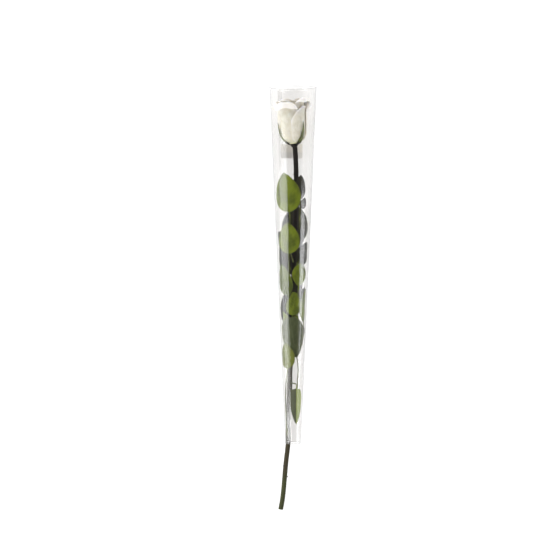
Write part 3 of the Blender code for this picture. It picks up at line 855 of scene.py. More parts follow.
@dataclass
class Sleeve:
    """The clear sleeve with its lengthwise lap, and the blank label behind the stem.

    The wall's shallow dents fade out towards the rims and the floor. The lap stands proud of the wall and
    stops a little short of the rims.
    """

    cone: Cone
    wall: float = 0.00025
    sides: int = 144
    rings: int = 48
    dent: float = 0.00022
    dent_fade: float = 0.01
    dent_waves: tuple[float, float] = (1.6, 22.0)
    floor_angle: float = 270.0
    floor_fade: float = 35.0
    lap_angle: float = 236.0
    lap_width: float = 0.007
    lap_proud: float = 0.00022
    lap_lift: float = 0.00002
    lap_margin: float = 0.0008
    label_angle: float = 266.0
    label_width: float = 0.0315
    label_foot: float = 0.3815
    label_top: float = 0.4005
    label_corner: float = 0.0016
    label_depth: float = 0.0006
    label_thickness: float = 0.00022

    def dented(self, point: Vector) -> Vector:
        """A point of the wall, eased inwards in long shallow dents.

        Args:
            point: the point of the plain cone.

        Returns:
            The point of the dented one.
        """
        out = Vector((point.x, point.y, 0)).normalized()
        angle = math.degrees(math.atan2(-point.y, point.x)) % 360
        clear_of_floor = smooth(abs(angle - self.floor_angle) / self.floor_fade - 0.3)
        around, along = self.dent_waves
        wave = noise.noise(Vector((out.x * around, out.y * around, point.z * along)))
        ends = smooth(point.z / self.dent_fade) * smooth((self.cone.length - point.z) / self.dent_fade)
        depth = self.dent * smooth(wave * 1.6 + 0.3) * clear_of_floor * ends
        return point - out * depth

    def build(self) -> None:
        """Makes the sleeve's wall and lap as one piece, and the label."""
        lay = self.cone.lay()
        steps = [self.cone.length * k / self.rings for k in range(self.rings + 1)]
        rings = [(self.cone.outer_radius(height), height) for height in steps]
        tube = Bench.ringed("clear_sleeve", self.sides, rings, False)
        for point in tube.data.vertices:
            point.co = self.dented(point.co)
        Bench.apply(tube, "SOLIDIFY", thickness=self.wall, offset=-1.0)
        Bench.apply(tube, "BEVEL", width=self.wall * 0.3, segments=2, limit_method="ANGLE")
        whole = Bench.join("clear_sleeve", [tube, self.lap()])
        axis = lay.to_3x3() @ UP
        whole.data.materials.append(
            SheetFinish("clear_sheet_gloss", lay.translation, axis, self.cone.length).material()
        )
        Bench.finish(whole, lay, "clear_sheet", "sleeve")
        self.label(lay)

    def lap(self) -> Piece:
        """The outer edge of the rolled sheet, which lies on the wall from end to end."""

        def place(across: float, up: float) -> Vector:
            """The point of the lap's middle plane."""
            height = self.lap_margin + (self.cone.length - 2 * self.lap_margin) * up
            radius = self.cone.outer_radius(height) + self.lap_proud / 2 + self.lap_lift
            angle = self.lap_angle + across * math.degrees(self.lap_width / 2 / radius)
            return outward(angle) * radius + UP * height

        return Bench.sheet("lap", (6, 40), self.lap_proud, place)

    def label(self, lay: Matrix) -> None:
        """Makes the blank label, with its round corners, on the sleeve's rear wall.

        Args:
            lay: the matrix that lays it down with the sleeve.
        """

        def place(across: float, up: float) -> Vector:
            """The point of the label's middle plane."""
            height = self.label_foot + (self.label_top - self.label_foot) * up
            half = self.label_width / 2
            from_end = min(height - self.label_foot, self.label_top - height)
            if from_end < self.label_corner:
                inset = self.label_corner - from_end
                half -= self.label_corner - math.sqrt(self.label_corner**2 - inset**2)
            angle = self.label_angle + across * math.degrees(half / self.cone.inner_radius(height))
            return self.cone.wall_point(height, angle, self.label_depth)

        label = Bench.sheet("blank_label", (24, 48), self.label_thickness, place)
        middle = (lay @ (UP * (self.label_foot + self.label_top) / 2)).y
        label.data.materials.append(PaperFinish("label_fibre", middle).material())
        Bench.finish(label, lay, "label_paper", "label")


@dataclass
class Stem:
    """The woody stem, swollen and scarred at its joints, with its thorns and its cut end.

    The route is points (x, y, height) of its centre line. A thorn is pinched in its middle, narrow across
    the stem, tall at its root, and hooked down. The cut rings are (share of the radius, depth).
    """

    cone: Cone
    joints: Sequence[float]
    radius: float = 0.0033
    bark_share: float = 0.985
    swell: float = 0.14
    swell_reach: float = 0.006
    scar: float = 0.035
    scar_below: float = 0.0035
    scar_reach: float = 0.0008
    roughness: float = 0.03
    rough_waves: tuple[float, float] = (500.0, 120.0)
    steps: int = 260
    route: Sequence[tuple[float, float, float]] = (
        (-0.0163, 0.0035, -0.0897),
        (-0.0131, 0.0027, -0.069),
        (-0.0096, 0.0012, -0.029),
        (-0.0065, 0.0003, 0.0),
        (-0.0062, 0.0003, 0.03),
        (-0.0053, 0.0005, 0.057),
        (-0.004, 0.0006, 0.095),
        (-0.0007, 0.001, 0.19),
        (0.0026, 0.0018, 0.284),
        (0.0043, 0.0024, 0.355),
        (0.0027, 0.0026, 0.3959),
    )
    thorn_heights: Sequence[float] = (-0.045, -0.030, 0.034, 0.088, 0.143, 0.201, 0.231, 0.302, 0.331, 0.360)
    thorn_scatter: float = 20.0
    thorn_length: float = 0.0025
    thorn_root: float = 0.0017
    thorn_tip: float = 0.00012
    thorn_sunk: float = 0.0007
    thorn_pinch: float = 0.45
    thorn_narrow: float = 0.7
    thorn_tall: float = 0.35
    thorn_hook: float = 0.42
    thorn_cuts: int = 6
    thorn_seed: int = 5
    cut_rings: Sequence[tuple[float, float]] = (
        (0.95, 0.0), (0.93, -0.00018), (0.45, -0.00012), (0.3, -0.00004), (0.08, 0.00006),
    )

    def centre(self, height: float) -> Vector:
        """The stem's centre at a height, found by halving.

        Args:
            height: the height.

        Returns:
            The point of the centre line.
        """
        low, high = 0.0, 1.0
        for _ in range(30):
            middle = (low + high) / 2
            if spline_point(self.route, middle).z < height:
                low = middle
            else:
                high = middle
        return spline_point(self.route, low)

    def near_joint(self, height: float, reach: float) -> float:
        """How near a height is to a joint, from 0 far from it to 1 at it, over a reach."""
        return min(1.0, sum(math.exp(-(((height - joint) / reach) ** 2)) for joint in self.joints))

    def radius_at(self, height: float) -> float:
        """The stem's radius at a height, swollen a little at each joint that bears a leaf."""
        return self.radius * (1 + self.swell * self.near_joint(height, self.swell_reach))

    def build(self) -> None:
        """Makes the stem with its thorns as one piece, and the cut end."""
        path = smooth_path(self.route, self.steps)
        radii = [self.radius_at(point.z) * self.bark_share for point in path]
        stem = Bench.tube("stem_bark", path, radii, 6)
        across, along = self.rough_waves
        for point in stem.data.vertices:
            centre = self.centre(point.co.z)
            rough = noise.noise(Vector((point.co.x * across, point.co.y * across, point.co.z * along)))
            scar = self.near_joint(point.co.z + self.scar_below, self.scar_reach)
            point.co = centre + (point.co - centre) * (1 + self.roughness * rough + self.scar * scar)
        thorns = [self.thorn(k, height) for k, height in enumerate(self.thorn_heights)]
        whole = Bench.join("stem_bark", [stem, *thorns])
        lay = self.cone.lay()
        low, high = ((lay @ Vector(self.route[k])).y for k in (0, -1))
        whole.data.materials.append(BarkFinish("dried_bark", low, high).material())
        Bench.finish(whole, lay, "stem_bark", "stem", sharp=50.0)
        self.cut_end(lay)

    def thorn(self, number: int, height: float) -> Piece:
        """One hooked thorn, from a cone that is cut across and bent down step by step.

        Args:
            number: its place in the spiral up the stem.
            height: where it stands.

        Returns:
            The thorn, its root sunk in the stem.
        """
        draw = random.Random(self.thorn_seed * 100 + number)
        out = outward(GOLDEN_TURN * number + draw.uniform(-self.thorn_scatter, self.thorn_scatter))
        Bench.clear_selection()
        bpy.ops.mesh.primitive_cone_add(
            vertices=16,
            radius1=self.thorn_root,
            radius2=self.thorn_tip,
            depth=self.thorn_length,
            location=(0, 0, 0),
        )
        thorn = bpy.context.object
        thorn.name = f"thorn_{number}"
        half = self.thorn_length / 2
        for k in range(1, self.thorn_cuts):
            level = -half + self.thorn_length * k / self.thorn_cuts
            Bench.edit(
                thorn,
                lambda level=level: bpy.ops.mesh.bisect(plane_co=(0, 0, level), plane_no=(0, 0, 1)),
            )
        for point in thorn.data.vertices:
            share = (point.co.z + half) / self.thorn_length
            pinch = 1 - self.thorn_pinch * math.sin(math.pi * share)
            point.co.x *= pinch * self.thorn_narrow
            point.co.y *= pinch * (1 + self.thorn_tall * (1 - share))
            point.co.y -= self.thorn_length * self.thorn_hook * share * share
        turn = Matrix((UP.cross(out), UP, out)).transposed().to_4x4()
        root = self.centre(height) + out * (self.radius - self.thorn_sunk + half)
        thorn.data.transform(Matrix.Translation(root) @ turn)
        Bench.edit(thorn, Bench.face_outwards)
        return thorn

    def cut_end(self, lay: Matrix) -> None:
        """Makes the stem's sawn face, slightly hollow where the pith has dried.

        Args:
            lay: the matrix that lays it down with the stem.
        """
        centre = Vector(self.route[0])
        axis = (Vector(self.route[1]) - centre).normalized()
        rings = [(self.radius * share, depth) for share, depth in self.cut_rings]
        face = Bench.ringed("stem_cut", 32, rings, True)
        face.data.transform(Matrix.Translation(centre) @ axis.to_track_quat("Z", "Y").to_matrix().to_4x4())
        face.data.materials.append(WoodFinish("cut_wood", lay @ centre, self.radius).material())
        Bench.finish(face, lay, "stem_bark")


@dataclass(frozen=True)
class Top:
    """How a petal ends: how much lower it is, how much more so at one side, its lip's length and curl."""

    drop: float = 0.0
    slope: float = 0.0
    lip: float = 0.004
    curl: float = 0.002


@dataclass(frozen=True)
class Whorl:
    """One layer of petals that overlap like tiles round the heart.

    Its profile is (height, radius) up a petal, and its angles are in degrees.
    """

    first_angle: float
    half_span: float
    tilt: float
    roll: float
    ruffle: float
    profile: Sequence[tuple[float, float]]
    tops: Sequence[Top]


@dataclass
class Bloom:
    """The petals in their layers round a small heart, and the calyx that holds them.

    A petal's body takes the body share of its rows and its curled lip the rest. The heart and the hip are
    rings of (radius, height), and the sepals' path is (height, radius). Along Y from the bloom's foot, the
    calyx is black as painted shade as far as hip_black and green from hip_green on.
    """

    cone: Cone
    foot: Vector = field(default_factory=lambda: Vector((0.0016, 0.0026, 0.400)))
    top: Vector = field(default_factory=lambda: Vector((-0.0024, 0.0022, 0.461)))
    thickness: float = 0.00042
    clearance: float = 0.0006
    faces: tuple[int, int] = (28, 40)
    body_share: float = 0.66
    side_drop: float = 0.13
    edge_wave: float = 0.008
    lip_wave: float = 0.12
    crease: float = 0.0003
    crease_width: float = 0.12
    most_curl: float = 165.0
    seed: int = 11
    turn_scatter: float = 2.0
    wave_scatter: tuple[float, float] = (2.2, 3.4)
    tip_scatter: tuple[float, float] = (0.005, 0.02)
    whorls: Sequence[Whorl] = (
        Whorl(
            262, 51, 0.0009, 0.0012, 0.0005,
            (
                (0.0012, 0.0056), (0.0028, 0.0095), (0.006, 0.0135), (0.011, 0.0163),
                (0.02, 0.0176), (0.031, 0.0181), (0.042, 0.0184), (0.0524, 0.0188),
            ),
            (
                Top(lip=0.012, curl=0.0026), Top(drop=0.002, lip=0.0135, curl=0.0042),
                Top(drop=0.0053, slope=0.0041, lip=0.003), Top(lip=0.015, curl=0.0026),
                Top(drop=0.001, lip=0.0135, curl=0.0036),
            ),
        ),
        Whorl(
            246, 51, 0.0008, 0.0008, 0.0004,
            (
                (0.008, 0.0078), (0.011, 0.0125), (0.02, 0.015),
                (0.032, 0.016), (0.044, 0.0166), (0.0556, 0.017),
            ),
            (Top(), Top(lip=0.008, curl=0.0026), Top(lip=0.014, curl=0.004), Top(), Top()),
        ),
        Whorl(
            262, 50, 0.0007, 0.0008, 0.0005,
            ((0.016, 0.0088), (0.0215, 0.0118), (0.03, 0.013), (0.043, 0.0138), (0.0577, 0.015)),
            (Top(lip=0.003),) * 5,
        ),
        Whorl(
            205, 62, 0.0006, 0.0006, 0.0004,
            ((0.022, 0.0076), (0.028, 0.0094), (0.041, 0.0104), (0.0573, 0.0116)),
            (Top(lip=0.0025, curl=0.0024),) * 4,
        ),
        Whorl(
            290, 84, 0.0006, 0.0005, 0.0003,
            ((0.027, 0.0056), (0.032, 0.0068), (0.043, 0.0076), (0.0563, 0.0082)),
            (Top(lip=0.002, curl=0.003),) * 3,
        ),
        Whorl(
            30, 118, 0.0005, 0.0002, 0.0002,
            ((0.03, 0.0036), (0.04, 0.0045), (0.055, 0.0049)),
            (Top(lip=0.001, curl=0.004),) * 2,
        ),
        Whorl(
            120, 135, 0.0004, 0.0001, 0.0001,
            ((0.0305, 0.0018), (0.04, 0.0021), (0.0526, 0.0022)),
            (Top(lip=0.0006, curl=0.004),),
        ),
    )
    heart_foot: Colour = (0.62, 0.62, 0.36)
    heart: Sequence[tuple[float, float]] = (
        (0.0012, 0.0003), (0.0074, 0.0004), (0.0086, 0.003), (0.0098, 0.006), (0.0108, 0.012),
        (0.0112, 0.02), (0.01, 0.026), (0.0078, 0.0302), (0.004, 0.0332), (0.0006, 0.034),
    )
    hip: Sequence[tuple[float, float]] = (
        (0.003, -0.0044), (0.0035, -0.0041), (0.004, -0.0034), (0.0045, -0.0024), (0.0048, -0.0013),
        (0.0048, -0.0004), (0.0046, 0.001), (0.0006, 0.0012),
    )
    hip_black: float = -0.0005
    hip_green: float = 0.0045
    sepal_angles: Sequence[float] = (160, 206, 258, 312, 52)
    sepal_faces: tuple[int, int] = (10, 40)
    sepal_width: float = 0.0068
    sepal_thickness: float = 0.0005
    sepal_barb: float = 0.0005
    sepal_hollow: float = 0.0007
    sepal_wander: float = 0.0012
    sepal_seed: int = 40
    sepal_path: Sequence[tuple[float, float]] = (
        (-0.002, 0.003), (-0.0004, 0.0074), (0.003, 0.0122), (0.008, 0.0169),
        (0.014, 0.0194), (0.021, 0.0207), (0.029, 0.0212),
    )

    def stand(self) -> Matrix:
        """The matrix that stands the bloom on the stem, leaning as the bloom does."""
        lean = (self.top - self.foot).to_track_quat("Z", "Y").to_matrix().to_4x4()
        unturn = Matrix.Rotation(-lean.to_euler().z, 4, "Z")
        return Matrix.Translation(self.foot) @ lean @ unturn

    def curled(self, radius: float, distance: float) -> tuple[float, float]:
        """How far a petal's lip has gone along its curl.

        Args:
            radius: the curl's radius.
            distance: how far along the lip.

        Returns:
            How far outwards and how far upwards.
        """
        most = math.radians(self.most_curl)
        turned = min(most, distance / radius)
        beyond = distance - radius * turned
        outwards = radius * (1 - math.cos(turned)) + beyond * math.sin(most)
        return outwards, radius * math.sin(turned) + beyond * math.cos(most)

    def petal(self, name: str, whorl: Whorl, number: int, draw: random.Random) -> Piece:
        """One petal.

        Args:
            name: its name.
            whorl: the layer it belongs to.
            number: its place in the layer.
            draw: the draw of its own small differences.

        Returns:
            The petal, in the sleeve's upright frame.
        """
        stand = self.stand()
        top = whorl.tops[number]
        turned = draw.uniform(-self.turn_scatter, self.turn_scatter)
        angle = whorl.first_angle + 360 * number / len(whorl.tops) + turned
        phase = draw.uniform(0, 2 * math.pi)
        waves = draw.uniform(*self.wave_scatter)
        tip = draw.uniform(*self.tip_scatter)
        tall = whorl.profile[-1][0] - whorl.profile[0][0]

        def place(across: float, up: float) -> Vector:
            """The point of the petal's middle plane."""
            side = abs(across)
            short = self.side_drop * side**2.5 - tip * (1 - side) ** 3
            short += self.edge_wave * math.sin(across * 5 + phase) + (top.drop + top.slope * across) / tall
            share = min(1.0, up / self.body_share)
            height, radius = spline_point(whorl.profile, share * (1 - max(0.0, short)))
            span = whorl.half_span * (0.5 + 0.5 * smooth(share / 0.45))
            radius += whorl.tilt * across * smooth(share / 0.3)
            radius += whorl.roll * max(0.0, across) ** 3 * share * share
            radius += whorl.ruffle * math.sin(waves * across + phase) * up**3
            radius -= self.crease * math.exp(-((across / self.crease_width) ** 2)) * share
            lip = max(0.0, up - self.body_share) / (1 - self.body_share)
            full = (1 - side**3) * (1 + self.lip_wave * math.sin(across * 6 + phase))
            curl = top.curl * max(0.25, math.sqrt(max(0.0, full)))
            outwards, upwards = self.curled(curl, lip * top.lip * full)
            point = outward(angle + across * span) * (radius + outwards) + UP * (height + upwards)
            return self.cone.held(stand @ point, self.clearance)

        return Bench.sheet(name, self.faces, self.thickness, place)

    def build(self) -> None:
        """Makes each layer of petals, the heart and the calyx as pieces."""
        lay = self.cone.lay()
        draw = random.Random(self.seed)
        finish = PetalFinish("petal_velvet").material()
        for n, whorl in enumerate(self.whorls):
            petals = [self.petal(f"petal_{n}_{k}", whorl, k, draw) for k in range(len(whorl.tops))]
            layer = Bench.join(f"petals_{n + 1}", petals)
            layer.data.materials.append(finish)
            nodes = ("bloom",) if n == 0 else ()
            Bench.finish(layer, lay, "white_petal", *nodes, sharp=60.0)
        heart = Bench.ringed("bloom_heart", 48, self.heart, True)
        heart.data.transform(self.stand())
        heart.data.materials.append(PetalFinish("heart_velvet", foot=self.heart_foot).material())
        Bench.finish(heart, lay, "white_petal")
        self.calyx(lay)

    def sepal(self, number: int, angle: float) -> Piece:
        """One sepal: a narrow leaf, hollowed lengthwise, with a long thin tip and a few side barbs.

        Args:
            number: its number.
            angle: where it stands round the hip.

        Returns:
            The sepal, in the sleeve's upright frame.
        """
        out = outward(angle)
        side = outward(angle + 90)
        stand = self.stand()
        phase = random.Random(self.sepal_seed + number).uniform(0, 2 * math.pi)

        def place(across: float, up: float) -> Vector:
            """The point of the sepal's middle plane."""
            height, radius = spline_point(self.sepal_path, up)
            middle = math.sin(math.pi * up)
            half = self.sepal_width / 2 * (1 - up) ** 0.75 * (0.45 + 0.85 * smooth(up / 0.4))
            half += self.sepal_barb * max(0.0, math.sin(up * 26 + phase + across)) ** 3 * middle
            hollow = self.sepal_hollow * across * across * math.sin(math.pi * min(1.0, up * 1.1))
            wander = self.sepal_wander * math.sin(up * 3 + phase) * up
            point = out * (radius - hollow) + side * (across * half + wander) + UP * height
            return self.cone.held(stand @ point, self.clearance)

        return Bench.sheet(f"sepal_{number}", self.sepal_faces, self.sepal_thickness, place)

    def calyx(self, lay: Matrix) -> None:
        """Makes the hip with its five sepals as one piece, with black painted shade at the stem.

        Args:
            lay: the matrix that lays it down with the bloom.
        """
        hip = Bench.ringed("hip", 40, self.hip, True)
        hip.data.transform(self.stand())
        sepals = [self.sepal(k, angle) for k, angle in enumerate(self.sepal_angles)]
        calyx = Bench.join("hip_and_sepals", [hip, *sepals])
        base = (lay @ self.foot).y
        ends = {"black_from": base + self.hip_black, "black_to": base + self.hip_green}
        skin = StalkFinish("sepal_skin", (0.15, 0.17, 0.055), (0.07, 0.08, 0.03), **ends)
        calyx.data.materials.append(skin.material())
        Bench.finish(calyx, lay, "sepal_green", "calyx", sharp=50.0)


class Layer(Enum):
    """How deep inside the sleeve's wall a blade lies, in metres, so that layers clear each other."""

    OUTER = 0.00105
    MIDDLE = 0.0026
    INNER = 0.0044


@dataclass(frozen=True)
class Leaflet:
    """One blade: where it leaves the leaf's stalk, its heading off straight up, its size and its depth."""

    at: float
    heading: float
    length: float
    width: float
    layer: Layer
    deeper: float = 0.0
    widest: float = 0.40
    tip_power: float = 0.84
    settles_by: float = 0.34
    tint: Tint = Tint.GREEN

    @property
    def depth(self) -> float:
        """How deep inside the wall the blade lies."""
        return self.layer.value + self.deeper

    def half_width(self, share: float) -> float:
        """The half width of the blade.

        Args:
            share: how far up the blade, as a share of its length.

        Returns:
            The half width there, as a share of the largest.
        """
        if share <= 0 or share >= 1:
            return 0.0
        foot_power = self.tip_power * self.widest / (1 - self.widest)
        return (share / self.widest) ** foot_power * ((1 - share) / (1 - self.widest)) ** self.tip_power


@dataclass
class Skins:
    """The materials that leaves share: the face turned to the stem, near black as painted shade, the one
    that shows, ribs and stalks.
    """

    inner: Skin
    outer: dict[Tint, Skin]
    rib: dict[Tint, Skin]
    stalk: Skin


@dataclass
class Leaf:
    """One compound leaf.

    Its stalk leaves the stem at a joint and runs through points (height, angle, depth). A blade's teeth and
    relief are full where its half width has reached full_at.
    """

    name: str
    joint: float
    angle: float
    stalk: Sequence[tuple[float, float, float]]
    leaflets: Sequence[Leaflet]
    teeth: int = 15
    columns: int = 18
    rib_steps: int = 22
    thickness: float = 0.00034
    petiole: float = 0.0045
    tooth: float = 0.00065
    tooth_peak: float = 0.8
    tooth_lean: float = 0.9
    margin: float = 0.28
    full_at: float = 0.004
    fold: float = 0.0006
    wave: float = 0.00012
    waves: float = 420.0
    quilt: float = 0.0001
    straightens: float = 0.35
    rib_root: float = 0.00062
    rib_tip: float = 0.00012
    rib_proud: float = 0.00018
    rib_reach: float = 0.97
    stalk_radius: float = 0.0008
    stalk_foot: float = 0.5
    stalk_taper: float = 0.25
    stalk_steps: int = 12
    stalk_sunk: float = 0.0003
    stalk_lift: float = 0.0012
    clearance: float = 0.0005

    def along_stalk(self, height: float) -> tuple[float, float, float]:
        """The stalk's route at a height, straight between its points.

        Args:
            height: the height.

        Returns:
            The height, angle and depth there, or those of the stalk's end.
        """
        for (low, angle, depth), (high, next_angle, next_depth) in zip(self.stalk, self.stalk[1:]):
            if low <= height <= high:
                share = (height - low) / (high - low)
                return height, angle + share * (next_angle - angle), depth + share * (next_depth - depth)
        return self.stalk[-1]

    def rib(self, leaflet: Leaflet, distance: float) -> tuple[float, float, float]:
        """The course of a blade's rib, which straightens up a little unless the blade hangs.

        Args:
            leaflet: the blade.
            distance: how far along the rib, from the stalk.

        Returns:
            How far the rib has gone sideways and upwards, and its heading there in radians.
        """
        heading = math.radians(leaflet.heading)
        bend = self.straightens * heading / (self.petiole + leaflet.length)
        if bend == 0 or abs(leaflet.heading) > 90:
            return distance * math.sin(heading), distance * math.cos(heading), heading
        turned = heading - bend * distance
        sideways = (math.cos(turned) - math.cos(heading)) / bend
        upwards = (math.sin(heading) - math.sin(turned)) / bend
        return sideways, upwards, turned

    def settled(self, leaflet: Leaflet, start_depth: float, distance: float) -> float:
        """The depth of a blade's plane, as it eases out from the stalk to its own layer.

        Args:
            leaflet: the blade.
            start_depth: the stalk's depth.
            distance: how far along the rib, from the stalk.

        Returns:
            The depth there.
        """
        share = smooth(distance / (leaflet.settles_by * (self.petiole + leaflet.length)))
        return start_depth + (leaflet.depth - start_depth) * share

    def spot(self, cone: Cone, leaflet: Leaflet, distance: float, aside: float, raised: float) -> Vector:
        """The point of a blade's plane.

        Args:
            cone: the sleeve's cone.
            leaflet: the blade.
            distance: how far up its rib.
            aside: how far to the side of the rib.
            raised: how far outwards of the plane, towards the wall.

        Returns:
            The point, in the sleeve's upright frame.
        """
        start = self.along_stalk(leaflet.at)
        sideways, upwards, turned = self.rib(leaflet, distance)
        sideways += aside * math.cos(turned)
        height = start[0] + upwards - aside * math.sin(turned)
        depth = max(self.clearance, self.settled(leaflet, start[2], distance) - raised)
        angle = start[1] + math.degrees(sideways / (cone.inner_radius(height) - depth))
        return cone.wall_point(height, angle, depth)

    def blade(self, cone: Cone, number: int, leaflet: Leaflet, skins: Skins) -> Piece:
        """One toothed and quilted blade.

        Args:
            cone: the sleeve's cone.
            number: the blade's number on its leaf.
            leaflet: the blade.
            skins: the materials that the leaves share.

        Returns:
            The blade.
        """
        phase = leaflet.at * 900

        def place(across: float, up: float) -> Vector:
            """The point of the blade's middle plane."""
            side = abs(across)
            half = leaflet.width / 2 * leaflet.half_width(up)
            grown_up = min(1.0, half / self.full_at)
            distance = self.petiole + leaflet.length * up
            bite = (up * self.teeth + 1e-4) % 1.0
            margin = max(0.0, (side - 1 + self.margin) / self.margin)
            tooth = smooth(grown_up) * margin * self.tooth * min(1.0, bite / self.tooth_peak)
            fold = -self.fold * (1 - side) * math.sin(math.pi * up)
            ladder = math.cos(2 * math.pi * (up - side * VEIN_SLANT) * VEIN_PAIRS)
            relief = -self.quilt * ladder * grown_up * (1 - side**4)
            sideways = 2.2 * across * min(1.0, 2 * half / self.full_at)
            ripple = math.sin(phase + self.waves * distance + sideways)
            aside = across * half + (math.copysign(tooth, across) if across else 0)
            raised = fold + relief - self.wave * (1 + ripple)
            return self.spot(cone, leaflet, distance + tooth * self.tooth_lean, aside, raised)

        faces = (self.columns, self.teeth * 5)
        name = f"{self.name}_blade_{number}"
        return Bench.sheet(name, faces, self.thickness, place, skins.inner, skins.outer[leaflet.tint])

    def blade_rib(self, cone: Cone, number: int, leaflet: Leaflet, skins: Skins) -> Piece:
        """The rib of a blade with its short stalk.

        Args:
            cone: the sleeve's cone.
            number: the blade's number on its leaf.
            leaflet: the blade.
            skins: the materials that the leaves share.

        Returns:
            The rib.
        """
        line = []
        shares = [k / self.rib_steps for k in range(self.rib_steps + 1)]
        for share in shares:
            distance = (self.petiole + leaflet.length * self.rib_reach) * share
            raised = self.rib_proud * smooth((share - 0.1) / 0.1) - self.fold * math.sin(math.pi * share)
            line.append(self.spot(cone, leaflet, distance, 0.0, raised))
        radii = [self.rib_root + (self.rib_tip - self.rib_root) * share for share in shares]
        rib = Bench.tube(f"{self.name}_rib_{number}", line, radii, 2)
        rib.data.materials.append(skins.rib[leaflet.tint])
        return rib

    def build(self, cone: Cone, stem: Stem, skins: Skins) -> None:
        """Makes the whole leaf as one piece: its stalk from the stem's joint, with its blades and ribs.

        Args:
            cone: the sleeve's cone.
            stem: the stem that bears it.
            skins: the materials that the leaves share.
        """
        out = outward(self.angle) * (stem.radius_at(self.joint) - self.stalk_sunk)
        foot = stem.centre(self.joint) + out
        if self.stalk[0][0] > self.joint:
            foot.z += self.stalk_lift
        route = [foot] + [cone.wall_point(*point) for point in self.stalk]
        path = smooth_path(route, self.stalk_steps * len(route))
        radii = []
        for k in range(len(path)):
            share = k / (len(path) - 1)
            foot_swell = self.stalk_foot * (1 - smooth(share / 0.12))
            radii.append(self.stalk_radius * (1 + foot_swell - self.stalk_taper * share))
        stalk = Bench.tube(f"{self.name}_stalk", path, radii, 3)
        stalk.data.materials.append(skins.stalk)
        pieces = [stalk]
        for number, leaflet in enumerate(self.leaflets):
            pieces.append(self.blade(cone, number, leaflet, skins))
            pieces.append(self.blade_rib(cone, number, leaflet, skins))
        whole = Bench.join(f"{self.name}_fine", pieces)
        Bench.finish(whole, cone.lay(), "leaf_green", self.name, sharp=50.0)


